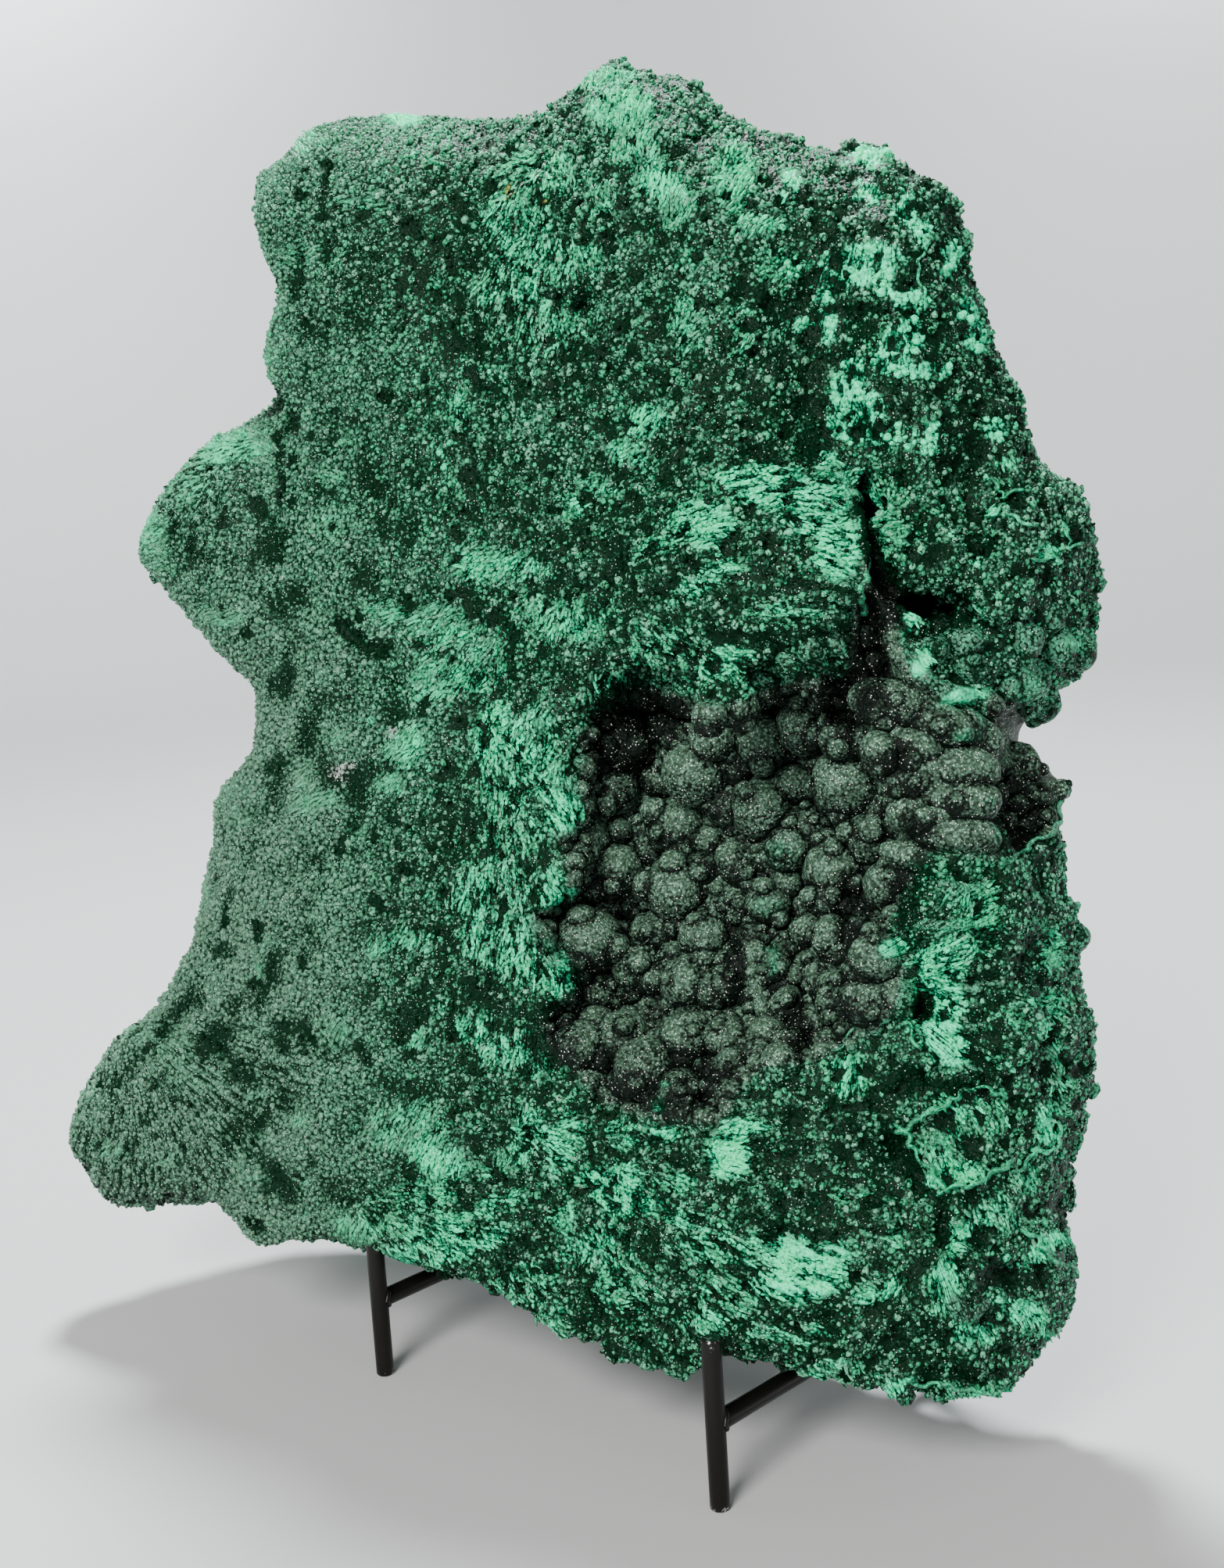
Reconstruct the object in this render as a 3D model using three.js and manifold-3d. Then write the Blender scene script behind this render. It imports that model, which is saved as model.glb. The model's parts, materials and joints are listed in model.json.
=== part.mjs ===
// A botryoidal malachite specimen standing on a small welded rod stand.
// Millimetres, +Z up. X runs from the left front foot of the stand to the right one, Y runs to the back.
// The stone is laid out as it is seen from its show side: across, up and out towards the viewer.

import * as THREE from 'three';
import { mergeVertices } from 'three/addons/utils/BufferGeometryUtils.js';
import Module from 'manifold-3d';

const wasm = await Module();
wasm.setup();

// Stand, all of one round rod
const ROD = 6.35;
const FOOT_SPACING = 157;
const POST_HEIGHT = 56;
const ARM_HEIGHT = 28.2;
const REAR_LEG_AT = 132;
const UPRIGHT_AT = 107.5;
const UPRIGHT_TOP = 205;
const UPRIGHT_LEAN = THREE.MathUtils.degToRad(9.3);
const UPPER_BAR_HEIGHT = 178;
const ROD_SIDES = 12;
const END_ROUNDING = 1.1;
const WELD_GAP = 0.3;
const WELD_SIZE = 1.2;
const REAR_LEG_HEIGHT = 34;
const LOWER_BAR_HEIGHT = 14;

// Stone
const STONE_CENTRE = new THREE.Vector3(-4.6, 59.5, 211.1);
const SHOW_TURN = THREE.MathUtils.degToRad(43.4);
const SHOW_TIP = THREE.MathUtils.degToRad(9.5);
const SHOW_ROLL = THREE.MathUtils.degToRad(-3.54);
const SIGHT_DISTANCE = 690;
const BODY_DETAIL = 13;
const BODY_CROWDING = new THREE.Vector3(0.26, -0.03, 0.38);
const SEAT_HEIGHT = ARM_HEIGHT + ROD / 2 + WELD_GAP;
const SEAT_UNEVENNESS = 1.6;
const SEAT_BED_WIDTH = 16;
const POST_POCKET = ROD / 2 + 0.5;

// Outline of the stone from the show side, clockwise from the top left shoulder
const OUTLINE = [
  [-106, 224], [-96, 227], [-82, 227], [-76, 232], [-68, 230], [-59, 228], [-34, 228], [-27, 227],
  [-19, 234], [-9, 241], [-5, 246], [10, 247], [19, 242], [34, 238], [41, 230], [48, 219], [68, 219],
  [72, 212], [78, 217], [90, 218], [105, 208], [119, 200], [121, 195], [120, 178], [128, 171],
  [130, 160], [130, 143], [142, 130], [144, 113], [149, 107], [159, 104], [163, 96], [165, 61],
  [165, 44], [158, 34], [150, 34], [147, 25], [140, 18], [140, 11], [155, 1], [155, -25], [156, -47],
  [162, -55], [162, -71], [166, -82], [166, -106], [160, -124], [154, -143], [154, -149], [160, -164],
  [160, -171], [157, -176], [156, -187], [149, -192], [146, -204], [128, -211], [107, -212], [87, -204],
  [66, -202], [53, -196], [48, -194], [38, -201], [18, -205], [6, -200], [-10, -190], [-14, -186],
  [-24, -189], [-33, -178], [-51, -169], [-66, -165], [-81, -161], [-94, -155], [-117, -158],
  [-126, -152], [-137, -143], [-157, -144], [-170, -142], [-180, -134], [-183, -122], [-189, -109],
  [-176, -97], [-160, -81], [-154, -79], [-144, -57], [-134, -16], [-134, -7], [-123, 14], [-121, 29],
  [-124, 39], [-146, 57], [-150, 67], [-162, 79], [-160, 88], [-147, 104], [-135, 120], [-114, 122],
  [-113, 128], [-119, 145], [-113, 167], [-114, 178], [-123, 195], [-117, 205], [-113, 218],
];
const OUTLINE_CENTRE = [-6, 14];

// How far out the front and the back stand, against the place across
const FRONT_RUN = [
  [-190, -98], [-150, -72], [-115, -44], [-80, -18], [-40, 8], [0, 38], [33, 65], [70, 76], [110, 84],
  [140, 84], [165, 74],
];
const BACK_RUN = [
  [-190, -116], [-165, -146], [-120, -164], [-60, -150], [-9, -106], [50, -44], [106, 8], [150, 22],
  [165, 30],
];
// Where the rim lies between the front (0) and the back (1), against the angle round the outline
const RIM_SHARE = [
  [0, 0.85], [60, 0.5], [110, 0.3], [180, 0.15], [250, 0.05], [298, 0.08], [304, 0.25], [312, 0.7],
  [330, 0.85], [360, 0.85],
];
// How far in from the outline the front and the back round over
const FRONT_ROUNDING = 36;
const BACK_ROUNDING = 48;

// Swellings (rise above zero) and hollows of the front: place, half sizes, turn in degrees, rise
const FRONT_FORMS = [
  { name: 'fan lobe over the cavity', at: [46, 72], size: [42, 38], turn: 0, rise: 20 },
  { name: 'upper right lobe', at: [98, 150], size: [22, 58], turn: 12, rise: 6 },
  { name: 'right middle lobe', at: [146, 78], size: [16, 32], turn: 0, rise: 9 },
  { name: 'left middle wing', at: [-140, 80], size: [20, 26], turn: 0, rise: 7 },
  { name: 'left foot lobe', at: [-156, -118], size: [30, 22], turn: 25, rise: 9 },
  { name: 'hollow of the left waist', at: [-98, 0], size: [26, 46], turn: 0, rise: -6 },
  { name: 'ledge beside the waist', at: [-60, 8], size: [20, 14], turn: 0, rise: 6 },
  { name: 'ridge left of the cavity', at: [-24, -36], size: [15, 60], turn: 0, rise: 9 },
  { name: 'summit knob', at: [3, 228], size: [18, 20], turn: 0, rise: 6 },
  { name: 'left shoulder', at: [-100, 196], size: [22, 26], turn: 0, rise: 6 },
  { name: 'bottom fans', at: [40, -158], size: [60, 26], turn: -12, rise: 7 },
  { name: 'buttress right of the cavity', at: [122, -52], size: [15, 38], turn: 0, rise: 10 },
  { name: 'lower right corner', at: [132, -150], size: [24, 40], turn: 0, rise: 8 },
  { name: 'central mass', at: [-6, 150], size: [52, 60], turn: 0, rise: 7 },
];
// Valleys of the front: the line they follow, half width and depth
const FRONT_VALLEYS = [
  { name: 'between summit mass and right lobe', line: [[72, 214], [70, 160], [72, 118], [86, 95]], width: 18, depth: 13 },
  { name: 'between left column and summit mass', line: [[-55, 222], [-58, 180], [-50, 134]], width: 15, depth: 8 },
  { name: 'root of the left wing', line: [[-112, 122], [-112, 96], [-122, 70]], width: 12, depth: 9 },
  { name: 'between right lobes', line: [[124, 124], [124, 84], [120, 60]], width: 9, depth: 11 },
  { name: 'root of the left foot', line: [[-140, -78], [-118, -110], [-112, -150]], width: 11, depth: 5 },
  { name: 'lower right channel', line: [[96, -122], [104, -140], [116, -166]], width: 6, depth: 11 },
];

// Rounded growths of the back
const BACK_FORMS = [
  { name: 'high lobe', at: [-62, 168], size: [34, 40], turn: 20, rise: 15 },
  { name: 'summit swelling', at: [16, 176], size: [30, 38], turn: -15, rise: 12 },
  { name: 'right shoulder', at: [84, 130], size: [30, 34], turn: 0, rise: 10 },
  { name: 'middle lobe', at: [18, 84], size: [36, 30], turn: 30, rise: 13 },
  { name: 'left middle lobe', at: [-78, 74], size: [32, 34], turn: 0, rise: 11 },
  { name: 'left flank', at: [-118, -36], size: [28, 42], turn: 10, rise: 9 },
  { name: 'lobe between the uprights', at: [46, -104], size: [34, 30], turn: 0, rise: 8 },
  { name: 'low left lobe', at: [-84, -104], size: [38, 30], turn: -10, rise: 9 },
];

// The cavity: mouth as seen from the show side, and how deep it goes behind the front
const CAVITY_MOUTH = [
  [0, 35], [18, 32], [31, 28], [43, 28], [53, 34], [73, 36], [90, 22], [104, 0], [111, -20], [105, -26],
  [100, -37], [94, -49], [84, -59], [81, -76], [76, -91], [68, -94], [53, -94], [46, -100], [36, -118],
  [16, -116], [4, -113], [-6, -108], [-10, -101], [-20, -93], [-26, -82], [-16, -72], [-26, -56],
  [-28, -44], [-16, -39], [-15, -31], [-18, -17], [-10, -10], [-12, 0], [-10, 21], [-2, 25],
];
const CAVITY_CENTRE = [36, -38];
const CAVITY_DETAIL = 8;
const CAVITY_DEPTH = 44;
const CAVITY_DEEP_TOP = 8;
const CAVITY_SHALLOW_FOOT = 22;
const CAVITY_UNDERCUT = 13;
const CAVITY_HALF_HEIGHT = 75;
const NODULE_FADE = 16;

// Round growths on the cavity floor: place and radius
const CAVITY_NODULES = [
  [29, 4, 15], [80, 2, 16], [3, 14, 13], [-1, -6, 12], [53, -6, 14], [93, -18, 13], [75, -30, 14],
  [4, -29, 13], [26, -34, 17], [51, -34, 12], [58, 16, 13], [-9, -55, 14], [88, -58, 12], [82, -76, 11],
  [50, -60, 12], [70, -52, 11], [66, -76, 12], [26, -62, 15], [-8, -88, 13], [14, -94, 17], [40, -92, 13],
  [8, -70, 11], [98, 4, 12], [20, -112, 12],
];
const NODULE_SINK = 0.45;
// Round growths along the right edge: place, radius and how far out
const EDGE_NODULES = [
  [153, 44, 11, 40], [139, 31, 9, 44], [146, 60, 10, 58], [133, 46, 10, 70], [86, 62, 11, 78],
  [79, 47, 11, 74], [68, 39, 10, 70], [92, 79, 10, 80], [139, -5, 8, 38], [147, -13, 8, 32],
  [137, -19, 8, 38], [146, -27, 8, 36], [150, 80, 12, 58],
];

// Dark pits and clefts: mouth, direction inwards, mouth radius and depth
const PITS = [
  { name: 'fissure beside the fan lobe', from: [84, 98], to: [95, 68], radius: 7, depth: 36 },
  { name: 'lower fissure', from: [95, 68], to: [110, 57], radius: 6, depth: 28 },
  { name: 'recess at the far right', from: [140, 2], to: [145, -18], radius: 12, depth: 20 },
  { name: 'hole in the right lobe', from: [134, 98], to: [138, 100], radius: 4.5, depth: 12 },
  { name: 'hole beside the buttress', from: [106, -78], to: [106, -74], radius: 5, depth: 16 },
  { name: 'pocket under the buttress', from: [103, -109], to: [112, -107], radius: 7, depth: 16 },
  { name: 'cell under the lower ridge', from: [124, -142], to: [120, -148], radius: 5, depth: 14 },
  { name: 'hole near the lower edge', from: [136, -167], to: [142, -168], radius: 5, depth: 14 },
  { name: 'small hole at the summit', from: [-15, 164], to: [-10, 164], radius: 4.5, depth: 10 },
];
// Thin ridges that stand proud of the front
const RIDGES = [
  { name: 'crescent of the curl lobe', line: [[100, 58], [101, 44], [108, 34], [126, 27]], radius: 6.5 },
  { name: 'first ledge beside the cavity', line: [[86, 32], [104, 22], [126, 24]], radius: 7 },
  { name: 'second ledge beside the cavity', line: [[88, 12], [108, 5], [128, 10]], radius: 7 },
  { name: 'third ledge beside the cavity', line: [[96, -6], [112, -11], [128, -4]], radius: 6.5 },
  { name: 'plate below the recess', line: [[132, -28], [143, -24], [153, -14]], radius: 3 },
  { name: 'rim of the hole in the right lobe', line: [[127, 90], [135, 88], [144, 91]], radius: 3.2 },
  { name: 'outer rib of the buttress', line: [[134, -30], [137, -56], [134, -90]], radius: 7 },
  { name: 'inner rib of the buttress', line: [[110, -34], [106, -50], [108, -68]], radius: 6.5 },
  { name: 'curl below the buttress', line: [[96, -113], [106, -107], [118, -103], [138, -105]], radius: 3.6 },
  { name: 'wall of the lower cells', line: [[98, -116], [107, -129], [116, -138], [130, -133]], radius: 3.6 },
  { name: 'tongue of the lower right', line: [[118, -158], [122, -170], [119, -182]], radius: 7.5 },
];

const malachiteGreen = new THREE.MeshStandardMaterial({ color: 0x1c4a38, roughness: 0.75, metalness: 0 });
const blackRod = new THREE.MeshStandardMaterial({ color: 0x151312, roughness: 0.42, metalness: 0.3 });

// Straight-line reading of a run of [place, value] pairs
function along(run, place) {
  const last = run.length - 1;
  if (place <= run[0][0]) return run[0][1];
  if (place >= run[last][0]) return run[last][1];
  const next = run.findIndex((pair) => pair[0] > place);
  const [x0, y0] = run[next - 1];
  const [x1, y1] = run[next];
  return y0 + ((y1 - y0) * (place - x0)) / (x1 - x0);
}

// Reading of a closed outline as a reach from its centre, against the angle
function reachOf(outline, centre) {
  const points = outline.map(([x, y]) => new THREE.Vector3(x, y, 0));
  const curve = new THREE.CatmullRomCurve3(points, true, 'centripetal');
  const rays = curve.getSpacedPoints(900).map((point) => {
    const x = point.x - centre[0];
    const y = point.y - centre[1];
    return [(Math.atan2(y, x) + 2 * Math.PI) % (2 * Math.PI), Math.hypot(x, y)];
  });
  rays.sort((a, b) => a[0] - b[0]);
  const first = rays[0];
  const last = rays[rays.length - 1];
  rays.unshift([last[0] - 2 * Math.PI, last[1]]);
  rays.push([first[0] + 2 * Math.PI, first[1]]);
  return (angle) => along(rays, angle);
}

const outlineReach = reachOf(OUTLINE, OUTLINE_CENTRE);
const mouthReach = reachOf(CAVITY_MOUTH, CAVITY_CENTRE);

const rimSpots = [];
for (let degrees = 0; degrees < 360; degrees += 1) {
  const angle = THREE.MathUtils.degToRad(degrees);
  const x = OUTLINE_CENTRE[0] + outlineReach(angle) * Math.cos(angle);
  const y = OUTLINE_CENTRE[1] + outlineReach(angle) * Math.sin(angle);
  const out = THREE.MathUtils.lerp(along(FRONT_RUN, x), along(BACK_RUN, x), along(RIM_SHARE, degrees));
  rimSpots.push({ x, y, out });
}

// Uneven growth, a sum of crossing waves between -1 and 1
function unevenness(x, y, z, spacing) {
  const k = (2 * Math.PI) / spacing;
  const first = Math.sin(k * (x + 0.4 * y) + 1.7) * Math.sin(k * (y - 0.3 * z) + 0.4);
  const second = Math.sin(k * 0.61 * (y + z) + 2.9) * Math.sin(k * 0.57 * (x - y) + 0.8);
  return 0.55 * first + 0.45 * second;
}

function distanceToLine(x, y, line) {
  let nearest = Infinity;
  for (let i = 1; i < line.length; i += 1) {
    const [x0, y0] = line[i - 1];
    const dx = line[i][0] - x0;
    const dy = line[i][1] - y0;
    const share = THREE.MathUtils.clamp(((x - x0) * dx + (y - y0) * dy) / (dx * dx + dy * dy), 0, 1);
    nearest = Math.min(nearest, Math.hypot(x - x0 - share * dx, y - y0 - share * dy));
  }
  return nearest;
}

function formRise(x, y, form) {
  const turn = THREE.MathUtils.degToRad(form.turn);
  const dx = x - form.at[0];
  const dy = y - form.at[1];
  const p = (dx * Math.cos(turn) + dy * Math.sin(turn)) / form.size[0];
  const q = (dy * Math.cos(turn) - dx * Math.sin(turn)) / form.size[1];
  return form.rise * Math.exp(-0.9 * (p * p + q * q) ** 1.3);
}

// The nearest spot of the rim: how far out the rim stands there, and how far away it is
function rimAt(x, y) {
  let nearest = rimSpots[0];
  let distance = Infinity;
  for (const spot of rimSpots) {
    const gap = Math.hypot(x - spot.x, y - spot.y);
    if (gap < distance) {
      distance = gap;
      nearest = spot;
    }
  }
  return { out: nearest.out, distance };
}

// From 0 at the rim to 1 where the rounding ends, as a quarter circle rises
function rounding(distance, width) {
  const left = 1 - Math.min(distance / width, 1);
  return Math.sqrt(1 - left * left);
}

function frontAt(x, y) {
  const rim = rimAt(x, y);
  let out = along(FRONT_RUN, x);
  for (const form of FRONT_FORMS) out += formRise(x, y, form);
  for (const valley of FRONT_VALLEYS) {
    out -= valley.depth * Math.exp(-((distanceToLine(x, y, valley.line) / valley.width) ** 2));
  }
  out += 2.2 * unevenness(x, y, out, 34);
  return rim.out + (out - rim.out) * rounding(rim.distance, FRONT_ROUNDING);
}

function backAt(x, y) {
  const rim = rimAt(x, y);
  let out = along(BACK_RUN, x) - 4 * Math.abs(unevenness(x, y, 40, 62)) + 2 * unevenness(y, x, 10, 30);
  for (const form of BACK_FORMS) out -= formRise(x, y, form);
  return rim.out + (out - rim.out) * rounding(rim.distance, BACK_ROUNDING);
}

// A place on the show side, drawn together with depth as the eye sees it
function place(x, y, out) {
  const nearness = 1 - out / SIGHT_DISTANCE;
  return new THREE.Vector3(x * nearness, y * nearness, out);
}

// From the show side to the stand's own axes
const showSide = new THREE.Matrix4()
  .makeTranslation(STONE_CENTRE)
  .multiply(new THREE.Matrix4().makeRotationZ(SHOW_TURN))
  .multiply(new THREE.Matrix4().makeRotationX(Math.PI / 2 - SHOW_TIP))
  .multiply(new THREE.Matrix4().makeRotationZ(SHOW_ROLL));

function bareGeometry(geometry) {
  const bare = geometry.clone();
  bare.deleteAttribute('normal');
  bare.deleteAttribute('uv');
  return mergeVertices(bare, 1e-4);
}

function solidOf(geometry) {
  const bare = bareGeometry(geometry);
  return new wasm.Manifold(new wasm.Mesh({
    numProp: 3,
    vertProperties: Float32Array.from(bare.attributes.position.array),
    triVerts: Uint32Array.from(bare.index.array),
  }));
}

function geometryOf(solid) {
  const { vertProperties, triVerts } = solid.getMesh();
  const geometry = new THREE.BufferGeometry();
  geometry.setAttribute('position', new THREE.BufferAttribute(vertProperties, 3));
  geometry.setIndex(new THREE.BufferAttribute(triVerts, 1));
  return geometry;
}

// A round start whose points are moved one by one
function shapedBall(detail, move) {
  const ball = bareGeometry(new THREE.IcosahedronGeometry(1, detail));
  const position = ball.attributes.position;
  const point = new THREE.Vector3();
  for (let i = 0; i < position.count; i += 1) {
    point.fromBufferAttribute(position, i).normalize();
    position.setXYZ(i, ...move(point).toArray());
  }
  return ball;
}

function discPlace(point, reach, centre) {
  const angle = (Math.atan2(point.y, point.x) + 2 * Math.PI) % (2 * Math.PI);
  const share = Math.sqrt(1 - Math.abs(point.z) ** 1.25);
  return [centre[0] + share * reach(angle) * Math.cos(angle), centre[1] + share * reach(angle) * Math.sin(angle), share];
}

// The lowest the stone reaches: level where it lies on the arms of the stand, uneven elsewhere
function undersideAt(spot) {
  const besideArm = Math.abs(Math.abs(spot.x) - FOOT_SPACING / 2);
  const share = THREE.MathUtils.smoothstep(besideArm, SEAT_BED_WIDTH / 2, SEAT_BED_WIDTH);
  return SEAT_HEIGHT + share * SEAT_UNEVENNESS * (1 + unevenness(spot.x, spot.y, 0, 40));
}

function stoneBody() {
  return shapedBall(BODY_DETAIL, (start) => {
    const point = start.clone().add(BODY_CROWDING).normalize();
    const [x, y] = discPlace(point, outlineReach, OUTLINE_CENTRE);
    const out = point.z >= 0 ? frontAt(x, y) : backAt(x, y);
    const spot = place(x, y, out).applyMatrix4(showSide);
    spot.z = Math.max(spot.z, undersideAt(spot));
    return spot;
  });
}

function cavityDepthAt(x, y, share) {
  const drop = THREE.MathUtils.clamp((y - CAVITY_CENTRE[1]) / CAVITY_HALF_HEIGHT, -1, 1);
  const depth = CAVITY_DEPTH + (drop > 0 ? CAVITY_DEEP_TOP : CAVITY_SHALLOW_FOOT) * drop;
  return depth * (1 - share ** 4) ** 0.5;
}

function noduleRise(x, y) {
  let rise = 0;
  for (const [atX, atY, radius] of CAVITY_NODULES) {
    const distance = Math.hypot(x - atX, y - atY);
    if (distance >= radius) continue;
    rise = Math.max(rise, Math.sqrt(radius ** 2 - distance ** 2) - radius * NODULE_SINK);
  }
  return rise;
}

function cavityCutter() {
  return shapedBall(CAVITY_DETAIL, (point) => {
    const [x, y, share] = discPlace(point, mouthReach, CAVITY_CENTRE);
    const front = frontAt(x, y);
    if (point.z >= 0) return place(x, y, front + 14 * (1 - share ** 2) + 12).applyMatrix4(showSide);
    const depth = cavityDepthAt(x, y, share);
    const settled = Math.min(1, depth / NODULE_FADE);
    const high = Math.max(0, (y - CAVITY_CENTRE[1]) / CAVITY_HALF_HEIGHT);
    const lift = CAVITY_UNDERCUT * high * settled * share;
    const rise = noduleRise(x, y) * settled;
    return place(x, y + lift, front + 12 * share ** 8 - depth + rise).applyMatrix4(showSide);
  });
}

function ballAt(x, y, out, radius, detail = 1) {
  const centre = place(x, y, out).applyMatrix4(showSide);
  return new THREE.IcosahedronGeometry(radius, detail).rotateX(x).rotateZ(y).translate(...centre.toArray());
}

// A tapering slot from the front inwards between two places
function pitCutter(pit) {
  const [fromX, fromY] = pit.from;
  const [toX, toY] = pit.to;
  const half = Math.hypot(toX - fromX, toY - fromY) / 2;
  const middle = [(fromX + toX) / 2, (fromY + toY) / 2];
  const turn = Math.atan2(toY - fromY, toX - fromX);
  return shapedBall(2, (point) => {
    const p = point.x * pit.radius + Math.sign(point.x) * half * Math.min(1, Math.abs(point.x) * 2);
    const q = point.y * pit.radius;
    const x = middle[0] + p * Math.cos(turn) - q * Math.sin(turn);
    const y = middle[1] + p * Math.sin(turn) + q * Math.cos(turn);
    const front = frontAt(middle[0], middle[1]);
    const out = point.z > 0 ? front + 14 * point.z : front + pit.depth * point.z;
    return place(x, y, out).applyMatrix4(showSide);
  });
}

// A thin wall following the front, its lower half sunk in the stone
function ridgeWall(ridge) {
  const spots = ridge.line.map(([x, y]) => place(x, y, frontAt(x, y) + ridge.radius * 0.4).applyMatrix4(showSide));
  const path = new THREE.CatmullRomCurve3(spots);
  const section = new THREE.Shape().absarc(0, 0, ridge.radius, 0, 2 * Math.PI);
  return new THREE.ExtrudeGeometry(section, { steps: 6, curveSegments: 2, extrudePath: path });
}

function postCentre(side) {
  return new THREE.Vector3((side * FOOT_SPACING) / 2, 0, 0);
}

function upright(radius, from, to) {
  const geometry = new THREE.CylinderGeometry(radius, radius, to - from, ROD_SIDES);
  return geometry.rotateX(Math.PI / 2).translate(0, 0, (from + to) / 2);
}

function malachite() {
  let stone = solidOf(stoneBody());
  stone = stone.subtract(solidOf(cavityCutter()));
  for (const pit of PITS) stone = stone.subtract(solidOf(pitCutter(pit)));
  for (const [x, y, radius, out] of EDGE_NODULES) stone = stone.add(solidOf(ballAt(x, y, out, radius)));
  for (const ridge of RIDGES) stone = stone.add(solidOf(ridgeWall(ridge)));
  for (const side of [-1, 1]) {
    const pocket = upright(POST_POCKET, -10, POST_HEIGHT + 1.5).translate(...postCentre(side).toArray());
    stone = stone.subtract(solidOf(pocket));
  }
  const largest = stone.decompose().sort((a, b) => b.volume() - a.volume())[0];
  return geometryOf(largest);
}

// A rod from one point to another, its ends slightly rounded over
function rod(from, to) {
  const length = from.distanceTo(to);
  const radius = ROD / 2;
  const profile = [
    [0, 0], [radius - END_ROUNDING, 0], [radius, END_ROUNDING], [radius, length - END_ROUNDING],
    [radius - END_ROUNDING, length], [0, length],
  ].map(([x, y]) => new THREE.Vector2(x, y));
  const geometry = new THREE.LatheGeometry(profile, ROD_SIDES);
  const turn = new THREE.Quaternion().setFromUnitVectors(new THREE.Vector3(0, 1, 0), to.clone().sub(from).normalize());
  return geometry.applyQuaternion(turn).translate(...from.toArray());
}

// A collar of weld where a rod meets the side of another
function weldCollar(at, direction) {
  const radius = ROD / 2;
  const profile = [[0, 0], [radius + WELD_SIZE, 0], [radius, WELD_SIZE * 1.4], [0, WELD_SIZE * 1.4]];
  const geometry = new THREE.LatheGeometry(profile.map(([x, y]) => new THREE.Vector2(x, y)), ROD_SIDES);
  const turn = new THREE.Quaternion().setFromUnitVectors(new THREE.Vector3(0, 1, 0), direction);
  return geometry.applyQuaternion(turn).translate(...at.toArray());
}

// A rod coped to the rods it is welded to
function copedRod(from, to, neighbours, collars) {
  let solid = solidOf(rod(from, to));
  for (const [at, direction] of collars) solid = solid.add(solidOf(weldCollar(at, direction)));
  for (const [start, end] of neighbours) {
    const beyond = end.clone().sub(start).setLength(ROD);
    const clearance = rodOfRadius(start.clone().sub(beyond), end.clone().add(beyond), ROD / 2 + WELD_GAP);
    solid = solid.subtract(solidOf(clearance));
  }
  return geometryOf(solid);
}

function rodOfRadius(from, to, radius) {
  const geometry = new THREE.CylinderGeometry(radius, radius, from.distanceTo(to), ROD_SIDES);
  const direction = to.clone().sub(from).normalize();
  const turn = new THREE.Quaternion().setFromUnitVectors(new THREE.Vector3(0, 1, 0), direction);
  return geometry.applyQuaternion(turn).translate(...from.clone().add(to).multiplyScalar(0.5).toArray());
}

function namedMesh(name, geometry, material) {
  const mesh = new THREE.Mesh(geometry, material);
  mesh.name = name;
  return mesh;
}

// One side of the stand: front post, arm, rear leg and the upright that the stone leans on
function sideFrame(word, side) {
  const x = (side * FOOT_SPACING) / 2;
  const point = (y, z) => new THREE.Vector3(x, y, z);
  const post = [point(0, 0), point(0, POST_HEIGHT)];
  const leg = [point(REAR_LEG_AT, 0), point(REAR_LEG_AT, REAR_LEG_HEIGHT)];
  const arm = [point(0, ARM_HEIGHT), point(REAR_LEG_AT, ARM_HEIGHT)];
  const rise = UPRIGHT_TOP - ARM_HEIGHT;
  const uprightLine = [point(UPRIGHT_AT, ARM_HEIGHT), point(UPRIGHT_AT + rise * Math.tan(UPRIGHT_LEAN), UPRIGHT_TOP)];
  const back = new THREE.Vector3(0, 1, 0);
  const collars = [[point(ROD / 2, ARM_HEIGHT), back], [point(REAR_LEG_AT - ROD / 2, ARM_HEIGHT), back.clone().negate()]];
  return {
    uprightLine,
    meshes: [
      namedMesh(`${word}_front_post`, rod(...post), blackRod),
      namedMesh(`${word}_arm`, copedRod(...arm, [post, leg], collars), blackRod),
      namedMesh(`${word}_rear_leg`, rod(...leg), blackRod),
      namedMesh(`${word}_upright`, copedRod(...uprightLine, [arm], []), blackRod),
    ],
  };
}

function crossBar(name, from, to, neighbours) {
  return namedMesh(name, copedRod(from, to, neighbours, []), blackRod);
}

function stand() {
  const group = new THREE.Group();
  const left = sideFrame('left', -1);
  const right = sideFrame('right', 1);
  group.add(...left.meshes, ...right.meshes);
  const share = (UPPER_BAR_HEIGHT - ARM_HEIGHT) / (UPRIGHT_TOP - ARM_HEIGHT);
  const upperEnds = [left, right].map((side) => new THREE.Vector3().lerpVectors(...side.uprightLine, share));
  group.add(crossBar('upper_cross_bar', ...upperEnds, [left.uprightLine, right.uprightLine]));
  const lowerAt = (side) => new THREE.Vector3((side * FOOT_SPACING) / 2, REAR_LEG_AT, LOWER_BAR_HEIGHT);
  const legAt = (side) => [lowerAt(side).setZ(0), lowerAt(side).setZ(REAR_LEG_HEIGHT)];
  group.add(crossBar('lower_cross_bar', lowerAt(-1), lowerAt(1), [legAt(-1), legAt(1)]));
  return group;
}

const part = new THREE.Group();
part.add(namedMesh('malachite', malachite(), malachiteGreen), stand());

// The origin is under the middle of the whole, on the surface that the feet stand on
const box = new THREE.Box3().setFromObject(part);
part.position.set(-(box.min.x + box.max.x) / 2, -(box.min.y + box.max.y) / 2, 0);

export default part;
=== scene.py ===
"""A botryoidal malachite specimen leaning on a small stand of black rod, with its studio."""

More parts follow.
